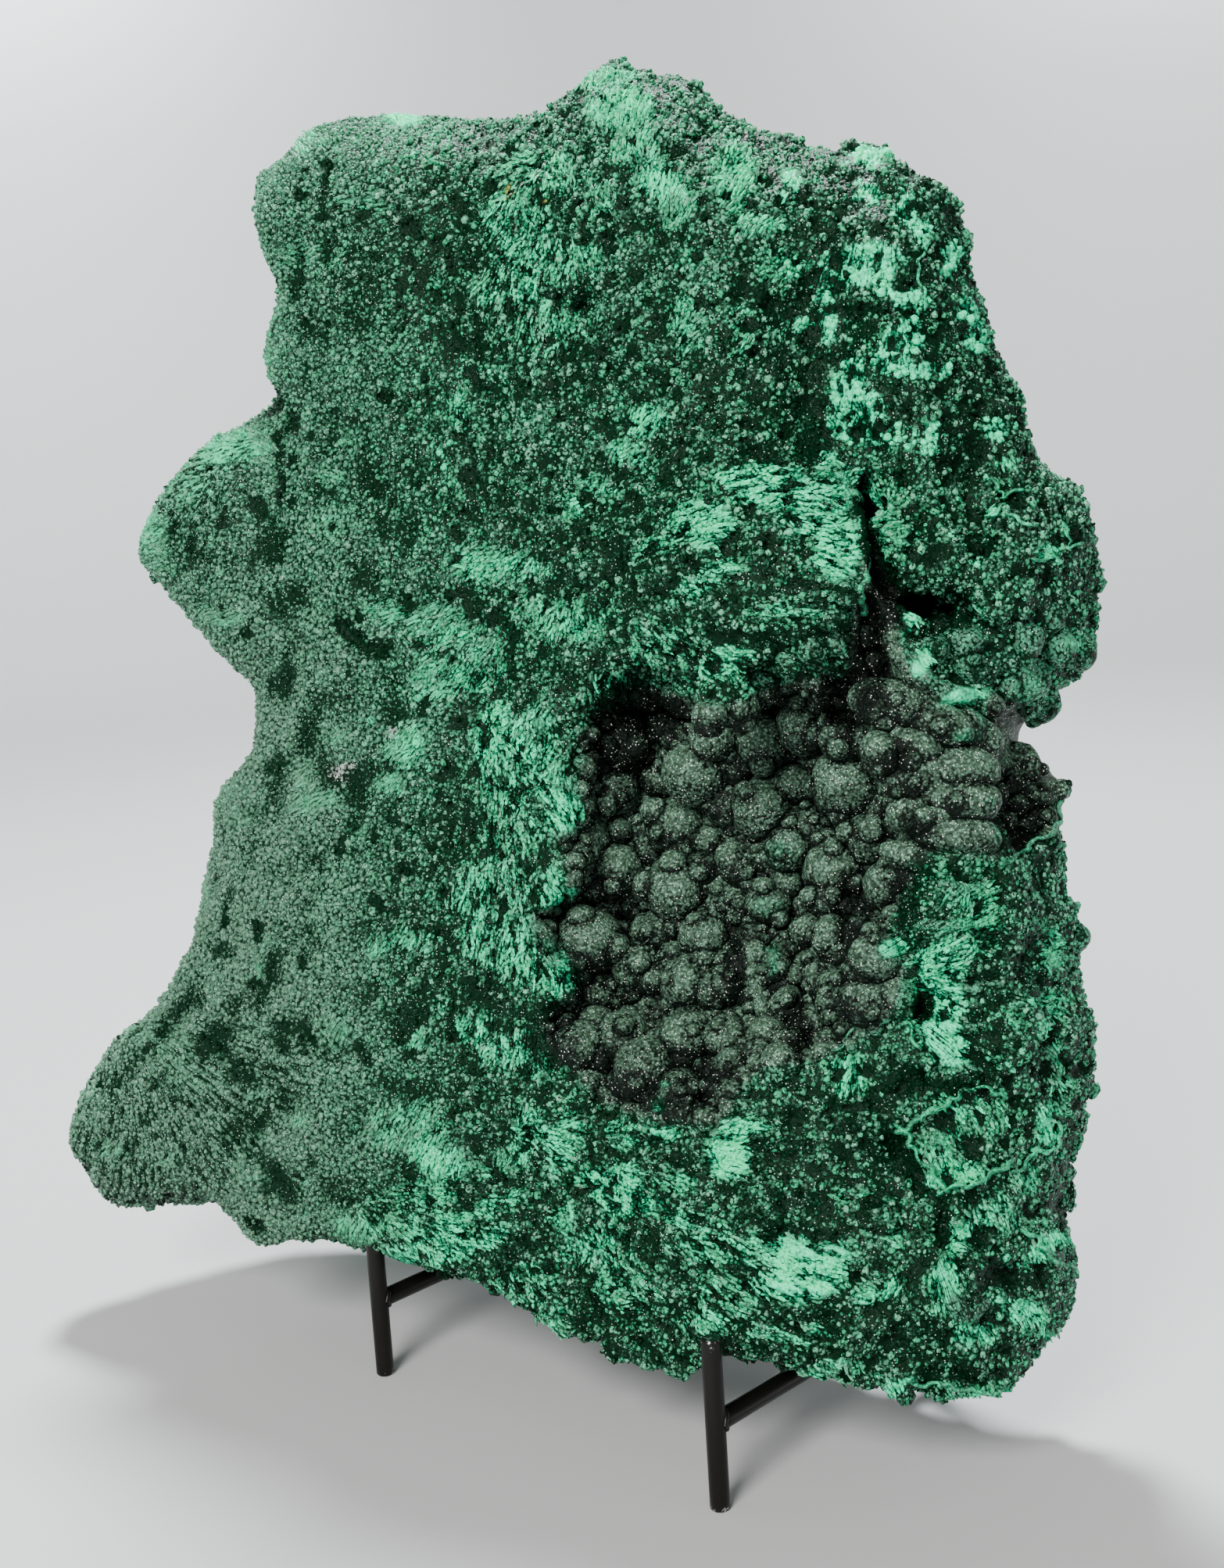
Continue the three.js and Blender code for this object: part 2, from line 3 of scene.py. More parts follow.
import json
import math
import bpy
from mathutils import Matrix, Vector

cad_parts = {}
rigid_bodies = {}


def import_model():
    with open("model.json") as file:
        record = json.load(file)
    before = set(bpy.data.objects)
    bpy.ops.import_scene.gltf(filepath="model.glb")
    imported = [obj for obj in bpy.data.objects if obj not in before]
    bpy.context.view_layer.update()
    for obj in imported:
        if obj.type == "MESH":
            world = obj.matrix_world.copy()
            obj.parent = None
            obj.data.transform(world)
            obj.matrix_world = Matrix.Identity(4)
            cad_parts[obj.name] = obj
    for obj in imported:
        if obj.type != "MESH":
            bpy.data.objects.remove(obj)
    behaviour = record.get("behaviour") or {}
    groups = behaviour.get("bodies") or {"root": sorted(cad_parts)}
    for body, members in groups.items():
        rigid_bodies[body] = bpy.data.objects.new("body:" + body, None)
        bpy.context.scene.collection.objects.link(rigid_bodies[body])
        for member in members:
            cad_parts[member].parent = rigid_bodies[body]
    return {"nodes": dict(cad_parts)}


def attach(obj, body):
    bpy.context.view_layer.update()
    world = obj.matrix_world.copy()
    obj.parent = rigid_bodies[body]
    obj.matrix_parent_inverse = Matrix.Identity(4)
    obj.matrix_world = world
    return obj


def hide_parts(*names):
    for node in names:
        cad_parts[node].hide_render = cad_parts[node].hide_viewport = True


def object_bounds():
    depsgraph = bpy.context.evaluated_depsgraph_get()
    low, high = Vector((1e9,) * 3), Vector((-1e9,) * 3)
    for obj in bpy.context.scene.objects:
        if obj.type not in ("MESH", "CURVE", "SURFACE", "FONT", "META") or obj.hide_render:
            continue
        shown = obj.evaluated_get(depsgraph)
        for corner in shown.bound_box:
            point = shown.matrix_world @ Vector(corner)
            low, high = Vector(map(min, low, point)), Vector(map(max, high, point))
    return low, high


bl_info = {
    "name": "Malachite Specimen",
    "version": (1, 0, 0),
    "blender": (4, 5, 0),
    "location": "View3D > Sidebar > Malachite",
    "description": "Builds a drusy malachite stone with its grains, its rod stand and a studio",
    "category": "Add Mesh",
}

import bpy
import numpy as np
from mathutils import Matrix, Vector, noise
from mathutils.bvhtree import BVHTree

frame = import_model()
CAD_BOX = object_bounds()

# The eye that the stone is laid out for: image size and reach in pixels, place in metres,
# angles in degrees
IMAGE_SIZE = (1566, 2006)
EYE_REACH = 2600
EYE_PLACE = (0.50257, -0.50374, 0.325)
EYE_TURN = 43.4
EYE_TIP = 9.5
EYE_ROLL = -3.54
SENSOR = 36.0
SIGHT_DISTANCE = 0.69
PIXEL = SIGHT_DISTANCE / EYE_REACH

# Distances from the eye, in metres, over which the marks of the front fade out
FRONT_FADE = (0.74, 0.78)
# Image columns over which the smooth left side turns rough, and over which the skin is drawn in
CALM_SIDE = (430, 760)
DRAWN_SIDE = (300, 760)
# Image columns at which the zones of grains and the zones of fibres meet
GRAIN_ZONES = (430, 700, 1050)
FIBRE_ZONES = (690, 1050)
# The solid patches of the upper right: from this column on, above this row
SILKY_COLUMN = 1010
SILKY_ROW = 590
# Strength of light green from which a place counts as a fan, and from which it has no grains
FIBRE_MINT = 0.4
GRAIN_MINT = 0.42
# Least light green of the solid patches and of the thin walls
SILKY_MINT = 0.8
WALL_MINT = 0.65

# Grids of the skin, coarse to fine: the bare form, with its lobes, with its lumps; then the folds
FORM_GRID = 0.0025
LOBE_GRID = 0.0024
LUMP_GRID = 0.002
FOLD_GRID = 0.001
# Round growths: least and greatest radius in metres, share that is sunk
LOBES = (0.007, 0.012, 0.8)
LUMPS = (0.0036, 0.0056, 0.6)
KNOBS = (0.0024, 0.0034, 0.5)
CAVITY_KNOBS = (0.0024, 0.0034, 0.62)
USUAL_GRAPES = (0.005, 0.0085, 0.25)
LITTLE_GRAPES = (0.0024, 0.0042, 0.1)
# Heights of the unevenness on the grapes, the folds and the thin walls
GRAPE_WAVES = 0.0009
FOLD_WAVES = 0.0012
WALL_WAVES = 0.0004
# Depth of the pits in the skin, and how far from a groove's line its pressing reaches in depth
PIT_DEPTH = 0.0024
GROOVE_DEPTH_REACH = 0.02
# Spacing above which grains count as the back's and vary little in tint
COARSE_SPACING = 0.004
# Pieces that are drawn in to the solid's box, by how their names start, the depth below each
# face of the box in which that is done, and the gap that is left
GROWN = ("malachite_", "grapes", "small_grapes", "folds", "thin_", "grains_", "fibres_")
FIT_BAND = 0.02
FIT_MARGIN = 0.0001

# Colours that only go with others: the velvet's painted shade, its painted glints and the dusty
# lacquer
VELVET_SHADE = (0.0003, 0.0008, 0.0005)
VELVET_GLINT = (0.92, 0.98, 0.86)
DUSTY_LACQUER = (0.006, 0.005, 0.004)

# The studio's floor: radius of its flat part, radius and steps of the turn up, height of the wall
FLOOR_RADIUS = 2.2
CURVE_RADIUS = 0.9
CURVE_STEPS = 8
WALL_HEIGHT = 1.6


def eye_axes():
    """Right, up and back of the eye, as unit vectors."""
    turn, tip, roll = (math.radians(a) for a in (EYE_TURN, EYE_TIP, EYE_ROLL))
    back = Vector((math.sin(turn) * math.cos(tip), -math.cos(turn) * math.cos(tip), math.sin(tip)))
    level = Vector((math.cos(turn), math.sin(turn), 0))
    rise = back.cross(level)
    right = math.cos(roll) * level + math.sin(roll) * rise
    up = math.cos(roll) * rise - math.sin(roll) * level
    return right, up, back


RIGHT, UP, BACK = eye_axes()
TO_EYE = np.array([RIGHT, UP, BACK]).T

# Light green patches: image place, half sizes in pixels, turn in degrees, strength
MINT_PATCHES = (
    # upper left and left wing
    (390, 180, 30, 22, 0, 0.5), (515, 148, 26, 16, 0, 0.8), (460, 262, 38, 12, 10, 0.6),
    (400, 325, 60, 14, 0, 0.45), (485, 235, 12, 15, 0, 0.4), (560, 195, 22, 30, 0, 0.35),
    (345, 450, 18, 50, 0, 0.35), (300, 575, 55, 22, -8, 0.6), (240, 620, 34, 30, 40, 0.45),
    (195, 680, 18, 28, 0, 0.6), (205, 722, 20, 14, 0, 0.5), (290, 790, 28, 10, 10, 0.5),
    (460, 560, 30, 25, 0, 0.4), (425, 610, 20, 15, 0, 0.45), (530, 440, 40, 60, 0, 0.35),
    (560, 560, 30, 70, -10, 0.35), (590, 520, 14, 26, 0, 0.6), (430, 660, 30, 30, 0, 0.35),
    (560, 370, 18, 26, 0, 0.4),
    # summit and middle
    (770, 95, 45, 22, 0, 0.6), (795, 140, 48, 30, 0, 0.65), (820, 190, 40, 36, 0, 0.55),
    (690, 225, 58, 36, 0, 0.6), (660, 285, 50, 40, 30, 0.65), (700, 330, 80, 34, 0, 0.55),
    (640, 370, 50, 28, 0, 0.55), (675, 372, 14, 18, 0, 0.9), (700, 420, 56, 36, 0, 0.45),
    (842, 235, 32, 24, 10, 0.75), (868, 265, 26, 28, 0, 0.55), (772, 255, 22, 18, 0, 0.5),
    (940, 225, 28, 50, 0, 0.6), (1012, 238, 15, 20, 0, 0.8), (972, 290, 42, 18, 0, 0.55),
    (880, 420, 26, 40, 0, 0.5), (948, 420, 18, 40, 0, 0.5), (826, 540, 30, 24, 0, 0.75),
    (806, 582, 36, 16, 20, 0.65), (768, 622, 40, 13, 20, 0.55), (735, 650, 14, 20, 0, 0.6),
    (690, 540, 30, 20, 0, 0.35), (885, 340, 24, 30, 0, 0.35), (640, 480, 26, 30, 0, 0.35),
    (1000, 340, 40, 22, 0, 0.5), (660, 450, 30, 36, 0, 0.3),
    # fan lobe over the cavity
    (980, 622, 72, 32, 12, 0.7), (900, 672, 52, 32, 20, 0.7), (850, 692, 46, 13, -25, 0.65),
    (905, 742, 60, 18, -28, 0.6), (1042, 650, 46, 44, 0, 0.6), (1072, 704, 34, 40, 0, 0.75),
    (1000, 784, 60, 16, 0, 0.6), (928, 848, 40, 24, -25, 0.75), (852, 822, 50, 34, 0, 0.45),
    (782, 882, 42, 22, 0, 0.6), (742, 802, 50, 18, -10, 0.55), (700, 790, 60, 26, 0, 0.5),
    (610, 722, 44, 22, 0, 0.55), (655, 726, 50, 20, 0, 0.6), (500, 782, 36, 20, 0, 0.5),
    (560, 800, 50, 34, 0, 0.45), (1060, 600, 20, 26, 0, 0.5),
    # band left of the cavity
    (620, 840, 40, 56, 0, 0.5), (560, 868, 40, 34, 0, 0.5), (640, 942, 36, 50, 0, 0.65),
    (690, 950, 26, 56, 0, 0.55), (650, 1004, 44, 34, 0, 0.55), (722, 1040, 26, 30, 0, 0.9),
    (704, 1000, 30, 30, 0, 0.6), (520, 955, 28, 30, 0, 0.5), (500, 1004, 20, 14, 0, 0.55),
    (660, 1060, 46, 44, 0, 0.5), (640, 1132, 60, 44, 0, 0.5), (580, 1152, 40, 14, 20, 0.6),
    (706, 1132, 18, 30, 0, 0.7), (640, 1200, 56, 46, 0, 0.6), (682, 1232, 48, 36, 0, 0.6),
    (722, 1252, 22, 30, 0, 0.9), (520, 1200, 52, 16, 0, 0.6), (480, 1214, 18, 16, 0, 0.6),
    (604, 1312, 28, 26, 0, 0.75), (654, 1340, 46, 22, -20, 0.65), (690, 1362, 28, 24, 0, 0.5),
    (540, 1330, 24, 14, 0, 0.55), (570, 1284, 20, 12, 0, 0.5),
    # left side and left foot
    (434, 942, 20, 10, -20, 0.45), (388, 984, 10, 18, 0, 0.45), (404, 1022, 40, 16, -20, 0.45),
    (454, 1060, 14, 24, 0, 0.3), (310, 1030, 30, 34, 0, 0.3), (340, 1210, 24, 16, 0, 0.4),
    (338, 1238, 10, 16, 0, 0.7), (432, 1320, 18, 14, 0, 0.45), (222, 1346, 60, 34, 20, 0.35),
    (250, 1376, 50, 34, 0, 0.35), (330, 1320, 24, 18, 0, 0.35), (326, 1400, 14, 20, 0, 0.45),
    (380, 1430, 12, 12, 0, 0.55), (312, 1466, 40, 24, 0, 0.35), (124, 1480, 30, 12, 10, 0.55),
    (206, 1490, 18, 10, 0, 0.5), (350, 1508, 54, 20, 0, 0.35), (96, 1400, 24, 14, 40, 0.4),
    (176, 1320, 46, 12, 40, 0.4), (262, 1140, 14, 26, 0, 0.4),
    # lower band
    (520, 1440, 56, 36, 0, 0.5), (562, 1484, 48, 24, 20, 0.65), (540, 1526, 48, 22, 0, 0.6),
    (500, 1544, 36, 26, 0, 0.5), (546, 1582, 66, 22, -25, 0.75), (604, 1592, 66, 16, -22, 0.75),
    (466, 1572, 36, 18, 0, 0.65), (664, 1652, 56, 34, -40, 0.5), (640, 1540, 38, 16, -20, 0.6),
    (674, 1450, 24, 44, 0, 0.5), (722, 1460, 26, 50, 20, 0.65), (800, 1450, 26, 26, -45, 0.55),
    (852, 1450, 20, 14, 0, 0.9), (842, 1413, 13, 12, 0, 0.9), (850, 1386, 8, 7, 0, 0.8),
    (782, 1512, 46, 26, 0, 0.8), (806, 1540, 46, 22, 0, 0.75), (724, 1562, 18, 28, 0, 0.6),
    (762, 1592, 56, 20, -20, 0.6), (862, 1514, 26, 16, 0, 0.55), (934, 1476, 32, 36, 0, 0.9),
    (956, 1442, 34, 12, 0, 0.85), (884, 1562, 56, 12, 10, 0.6), (924, 1600, 80, 24, 0, 0.6),
    (800, 1640, 44, 50, -60, 0.45), (940, 1654, 50, 34, -20, 0.5), (900, 1692, 36, 22, 0, 0.6),
    (1022, 1606, 62, 16, 0, 0.8), (1030, 1636, 56, 30, -15, 1.0), (1074, 1604, 18, 20, 0, 0.8),
    (1000, 1584, 50, 12, 5, 0.7), (1122, 1656, 36, 16, -15, 0.85), (1098, 1526, 40, 13, 10, 0.5),
    (1142, 1584, 9, 14, 0, 0.9), (1192, 1646, 12, 22, 0, 0.6), (1010, 1706, 66, 18, 0, 0.5),
    (1050, 1756, 60, 16, -15, 0.5), (1150, 1772, 20, 10, -30, 0.85), (700, 1700, 40, 30, -30, 0.4),
    (640, 1490, 30, 20, 0, 0.4),
    # buttress and lower right
    (1146, 1210, 26, 16, -10, 0.85), (1206, 1232, 40, 28, 0, 0.8), (1262, 1172, 26, 28, 0, 0.6),
    (1250, 1146, 60, 22, -8, 0.5), (1204, 1290, 40, 50, 0, 0.8), (1216, 1340, 38, 28, 15, 0.8),
    (1182, 1252, 18, 26, 0, 0.8), (1240, 1200, 60, 34, 0, 0.55), (1222, 1106, 60, 22, 0, 0.35),
    (1216, 1420, 24, 16, 30, 0.85), (1262, 1430, 46, 34, 0, 0.5), (1206, 1460, 34, 28, 0, 0.6),
    (1226, 1504, 50, 20, 0, 0.75), (1320, 1506, 22, 22, 0, 0.5), (1350, 1440, 12, 30, 10, 0.9),
    (1366, 1380, 16, 60, 0, 0.5), (1356, 1322, 12, 46, 0, 0.6), (1344, 1282, 40, 8, -10, 0.7),
    (1352, 1212, 14, 36, -15, 0.55), (1232, 1586, 18, 28, 20, 0.75), (1216, 1642, 26, 44, 20, 0.65),
    (1322, 1682, 38, 16, 15, 0.85), (1252, 1712, 36, 18, 0, 0.75), (1344, 1706, 56, 12, 25, 0.55),
    (1350, 1600, 46, 10, -40, 0.7), (1282, 1560, 56, 26, 0, 0.45), (1236, 1778, 60, 8, 5, 0.6),
    (1300, 1330, 40, 50, 0, 0.4), (1290, 1620, 30, 20, 0, 0.3),
    # upper right lobe
    (1114, 200, 26, 16, 0, 0.75), (1110, 246, 18, 16, 0, 0.8), (1158, 270, 15, 26, 0, 1.0),
    (1178, 292, 14, 14, 0, 0.85), (1112, 328, 42, 20, 5, 1.0), (1096, 352, 44, 12, 0, 0.95),
    (1056, 360, 14, 34, 5, 0.85), (1134, 370, 9, 12, 0, 0.95), (1166, 382, 24, 11, 0, 0.9),
    (1160, 430, 28, 26, 0, 0.9), (1140, 462, 22, 22, 0, 0.85), (1186, 474, 34, 13, 0, 0.85),
    (1084, 500, 20, 44, 8, 1.0), (1076, 542, 22, 22, 0, 0.85), (1112, 520, 26, 26, 0, 0.5),
    (1130, 560, 56, 26, 0, 0.4), (1190, 556, 14, 24, 0, 0.85), (1216, 330, 14, 32, 30, 0.65),
    (1238, 396, 13, 18, 0, 0.75), (1248, 430, 13, 24, 0, 0.9), (1060, 416, 13, 24, 0, 0.6),
    (1012, 420, 28, 13, -10, 0.6), (1276, 546, 18, 20, 0, 0.75), (1280, 600, 18, 18, 0, 0.6),
    (1136, 632, 34, 20, 0, 0.45), (1092, 612, 18, 22, 0, 0.5), (1114, 642, 11, 16, 0, 0.85),
    (1126, 684, 20, 36, 0, 0.4), (1240, 640, 30, 30, 0, 0.3),
    # right lobes and curl
    (1346, 704, 20, 11, -10, 0.85), (1372, 682, 9, 18, 0, 0.7), (1266, 655, 14, 8, 0, 0.75),
    (1382, 820, 18, 14, 0, 0.5), (1246, 780, 14, 12, 0, 0.5), (1152, 704, 30, 34, 0, 0.35),
    (1160, 792, 12, 28, 5, 1.0), (1180, 846, 11, 26, 25, 0.9), (1232, 890, 36, 11, -12, 0.85),
    (1236, 942, 18, 11, 0, 0.65), (1318, 882, 24, 14, 0, 0.5), (1330, 860, 20, 14, 0, 0.4),
    # cavity
    (994, 1088, 10, 9, 0, 0.6), (982, 1160, 20, 15, 0, 0.45), (990, 1230, 9, 22, 0, 0.6),
    (730, 1140, 11, 9, 0, 0.8), (1086, 1374, 28, 26, 0, 0.7), (1000, 1092, 26, 20, 0, 0.3),
)
# Places where the green is deep and pure: image place, half sizes, turn, strength
PURE_PATCHES = (
    (1086, 1374, 30, 28, 0, 1.0), (1262, 1172, 34, 34, 0, 0.8), (1206, 1232, 44, 34, 0, 0.6),
    (970, 1400, 12, 14, 0, 0.5), (1186, 1600, 60, 60, 0, 0.25), (1150, 660, 60, 60, 0, 0.35),
    (1110, 440, 26, 40, 0, 0.6), (470, 1560, 60, 40, 0, 0.3), (870, 640, 120, 60, 0, 0.2),
    (1040, 690, 60, 60, 0, 0.3),
)
# Fans of fibres: image place of the root, heading and half spread in degrees, reach in pixels
FANS = (
    (690, 712, 2, 44, 440), (640, 1440, -20, 34, 500), (430, 1520, -24, 30, 300),
    (610, 1600, -50, 40, 240), (1090, 1240, 0, 50, 260), (1150, 140, -96, 34, 480),
    (1086, 1322, -90, 40, 90), (960, 1430, -125, 40, 110), (700, 190, -120, 50, 330),
    (1180, 1560, -70, 50, 180), (540, 420, -84, 26, 260), (330, 560, -140, 40, 180),
    (620, 900, -80, 30, 460), (150, 1300, -60, 60, 260),
)
GROWTH_CENTRE = (700, 640)
# Grapes of the cavity and nodules of the right side: image place and radius in pixels
GRAPES = (
    (891, 988, 45), (1086, 1003, 50), (791, 950, 40), (784, 1011, 35), (975, 1034, 40),
    (1120, 1072, 42), (1071, 1114, 45), (1140, 1133, 35), (745, 1075, 38), (791, 1114, 35),
    (868, 1137, 45), (983, 1156, 32), (868, 1060, 44), (920, 930, 34), (975, 950, 38),
    (1030, 930, 38), (1080, 945, 34), (930, 1030, 30), (1010, 1085, 34), (1040, 1060, 30),
    (950, 1110, 28), (1120, 1225, 36), (1109, 1282, 32), (1145, 1275, 30), (1070, 1280, 28),
    (1060, 1150, 32), (1065, 1200, 30), (753, 1206, 46), (850, 1190, 30), (900, 1200, 34),
    (820, 1240, 38), (880, 1260, 36), (930, 1260, 28), (965, 1200, 24), (760, 1270, 38),
    (740, 1340, 38), (800, 1330, 40), (830, 1370, 46), (880, 1330, 38), (930, 1330, 32),
    (985, 1330, 32), (1010, 1290, 28), (1040, 1310, 26), (990, 1240, 26), (870, 1400, 34),
    (930, 1395, 32), (1000, 1360, 28),
    # right side
    (1080, 760, 20), (1066, 790, 19), (1070, 822, 20), (1040, 832, 20), (1010, 850, 20),
    (985, 862, 18), (1192, 832, 24), (1232, 822, 28), (1242, 852, 22), (1205, 802, 20),
    (1262, 905, 24), (1232, 934, 30), (1256, 978, 22), (1316, 868, 32), (1332, 900, 26),
    (1290, 880, 22), (1360, 830, 26), (1386, 838, 22), (1350, 790, 20), (1320, 820, 24),
    (1290, 1002, 17), (1316, 986, 19), (1346, 990, 19), (1300, 1032, 17), (1330, 1020, 17),
    (1356, 1010, 15), (1286, 1052, 15), (1316, 1056, 15), (1340, 1046, 13), (1115, 850, 20),
    (1105, 815, 18), (1200, 1380, 16), (842, 1413, 12), (1345, 1500, 16), (1380, 1200, 20),
)
# Outline of the cavity's mouth in the image
CAVITY_OUTLINE = [
    (784, 873), (849, 882), (898, 896), (944, 898), (983, 880), (1059, 862), (1110, 885),
    (1160, 945), (1178, 990), (1195, 1040), (1200, 1080), (1178, 1099), (1159, 1141), (1136, 1187),
    (1160, 1240), (1140, 1300), (1105, 1330), (1071, 1345), (1040, 1359), (983, 1365), (956, 1385),
    (918, 1440), (845, 1435), (799, 1424), (761, 1405), (745, 1382), (707, 1355), (690, 1313),
    (722, 1282), (726, 1263), (684, 1213), (680, 1168), (722, 1152), (726, 1118), (715, 1068),
    (747, 1045), (738, 1003), (745, 923), (780, 905),
]
# Outlines of the velvety places: the cavity, the folded side and the far recess
VELVET_OUTLINES = [
    CAVITY_OUTLINE,
    [
        (1110, 700), (1140, 745), (1190, 775), (1150, 790), (1158, 850), (1190, 882), (1240, 905),
        (1264, 940), (1270, 1010), (1284, 1100), (1210, 1092), (1170, 1100), (1130, 1060),
        (1110, 1000), (1080, 900), (1090, 800),
    ],
    [
        (1262, 880), (1300, 900), (1330, 960), (1366, 975), (1366, 1060), (1300, 1096),
        (1284, 1060), (1268, 1000),
    ],
]
# Rounded folds and ridges: image line, radius in pixels, how far proud of the stone
FOLDS = (
    (((1140, 786), (1150, 830), (1172, 864), (1200, 884), (1244, 892)), 15, 0.5),
    (((1066, 596), (1090, 640), (1100, 700), (1104, 752)), 13, 0.2),
    (((970, 1180), (962, 1240), (975, 1300)), 16, 0.0),
    (((1060, 1110), (1066, 1180), (1070, 1260)), 16, 0.0),
    (((1180, 1300), (1216, 1360), (1262, 1372)), 12, 0.1),
    (((1210, 1604), (1222, 1660), (1250, 1690), (1278, 1660)), 14, 0.2),
    (((1000, 1600), (1050, 1600), (1088, 1604)), 9, 0.2),
    (((980, 1640), (1030, 1650), (1064, 1656)), 9, 0.2),
    (((1190, 1130), (1240, 1140), (1290, 1140)), 9, 0.1),
    (((1160, 1180), (1220, 1184), (1290, 1176)), 9, 0.1),
    (((1190, 1262), (1240, 1268), (1290, 1256)), 8, 0.1),
    (((1196, 1310), (1236, 1318), (1270, 1310)), 8, 0.1),
)
# Long round growths of the folded side: image place, half sizes in pixels, turn in degrees
ROLLS = (
    (1140, 902, 52, 27, -18), (1196, 925, 50, 26, -20), (1240, 946, 42, 30, -25),
    (1220, 982, 60, 26, -4), (1226, 1024, 58, 27, -3), (1224, 1066, 58, 26, -8),
    (1168, 955, 36, 22, -10), (1158, 998, 34, 23, 0), (1164, 1040, 30, 21, 0),
    (1188, 1100, 60, 20, -12), (1120, 860, 30, 20, 60), (1112, 800, 34, 18, 80),
    (1300, 970, 30, 18, -20),
)
# Grooves and pits, pressed in and darkened as painted shade: image line, half width in pixels and
# depth in metres
GROOVES = (
    (((1106, 650), (1116, 700), (1138, 750), (1200, 790)), 19, 0.02),
    (((1112, 770), (1114, 830), (1128, 872), (1166, 902)), 15, 0.013),
    (((1130, 905), (1170, 938), (1196, 944)), 9, 0.008), (((1140, 970), (1180, 978)), 8, 0.006),
    (((1150, 1020), (1184, 1024)), 9, 0.008), (((1160, 1066), (1182, 1070)), 9, 0.008),
    (((1060, 1050), (1100, 1130), (1112, 1180)), 8, 0.008),
    (((740, 1160), (790, 1175), (830, 1180)), 9, 0.008),
    (((796, 896), (850, 908), (900, 922), (960, 916), (1040, 892)), 20, 0.018),
    (((830, 910), (816, 960), (826, 1000)), 14, 0.012), (((936, 1190), (944, 1220)), 7, 0.008),
    (((1020, 1260), (1034, 1330)), 8, 0.008),
    (((1142, 1456), (1160, 1490), (1176, 1524)), 10, 0.012),
    (((1196, 1530), (1212, 1560), (1200, 1590)), 9, 0.01),
    (((1282, 1622), (1300, 1640)), 11, 0.012), (((1344, 1626), (1348, 1640)), 7, 0.009),
    (((1186, 1756), (1198, 1752)), 6, 0.008), (((1228, 1754), (1250, 1764)), 6, 0.008),
    (((1160, 1386), (1196, 1376)), 12, 0.012), (((1178, 1280), (1184, 1298)), 9, 0.01),
    (((1290, 640), (1312, 652)), 9, 0.012), (((1374, 676), (1380, 694)), 6, 0.008),
    (((716, 378), (718, 384)), 7, 0.008), (((738, 394), (752, 392)), 8, 0.008),
    (((750, 312), (752, 316)), 7, 0.006), (((868, 298), (872, 302)), 8, 0.006),
    (((384, 250), (388, 252)), 8, 0.006), (((440, 800), (470, 830), (492, 830)), 15, 0.005),
    (((356, 560), (362, 640)), 7, 0.005), (((420, 210), (412, 280)), 9, 0.004),
    (((486, 508), (500, 512)), 8, 0.005), (((1240, 1536), (1246, 1526)), 7, 0.008),
    (((1262, 980), (1268, 1080)), 11, 0.012), (((738, 92), (740, 130)), 8, 0.006),
    (((1070, 300), (1066, 330)), 8, 0.006), (((660, 1480), (690, 1450)), 7, 0.004),
    (((1060, 400), (1140, 396), (1180, 402)), 9, 0.006),
)
# Thin walls and plates that stand out of the stone: image line, height and thickness in pixels
WALLS = (
    (((1062, 598), (1086, 630), (1100, 680), (1107, 740), (1100, 786)), 9, 7),
    (((1147, 1436), (1166, 1466), (1190, 1496), (1217, 1526), (1265, 1512), (1304, 1494)), 15, 4),
    (((1150, 1444), (1190, 1428), (1216, 1402), (1260, 1396), (1300, 1400)), 16, 4),
    (((1168, 1270), (1164, 1296), (1172, 1336)), 10, 3),
    (((1288, 1102), (1320, 1086), (1346, 1062), (1362, 1030)), 14, 4),
    (((1272, 612), (1274, 632), (1290, 640), (1306, 624)), 12, 3),
    (((1264, 656), (1280, 648), (1300, 664), (1326, 668)), 12, 3),
    (((1366, 668), (1368, 690), (1378, 704), (1388, 700)), 12, 3),
    (((1328, 712), (1346, 714), (1366, 722)), 8, 4),
    (((1310, 1498), (1340, 1476), (1352, 1482), (1362, 1462), (1366, 1440)), 10, 4),
    (((1322, 1574), (1352, 1604), (1388, 1628)), 14, 4),
    (((1172, 1768), (1210, 1776), (1266, 1778)), 8, 4),
    (((1068, 1340), (1078, 1332), (1086, 1322)), 8, 3),
    (((1336, 1276), (1360, 1284), (1378, 1300)), 10, 3),
    (((1350, 1200), (1346, 1226), (1356, 1250)), 9, 3),
    (((1182, 300), (1178, 350), (1180, 402)), 6, 3),
)
# Corrections of the outline: image place, reach, shift to the right and down in pixels
SHIFTS = (
    (110, 1440, 130, -46, 0), (140, 1540, 70, -18, 8), (345, 260, 110, -14, -2),
    (345, 460, 60, -12, 0), (185, 700, 60, -8, 2), (1385, 1640, 100, 22, 6), (1290, 1830, 60, 0, 8),
    (690, 1690, 60, -4, 8), (1270, 300, 60, -10, 0), (1330, 500, 60, -8, 0), (345, 370, 50, 10, 0),
    (600, 150, 70, 0, -6), (1130, 180, 60, 0, -6), (300, 930, 110, 9, 0), (200, 1290, 80, 12, 8),
    (1400, 1250, 120, -7, 0), (930, 130, 60, -6, 12), (350, 530, 50, 14, 0), (800, 80, 50, -6, -4),
    (330, 1600, 50, 0, 10),
)
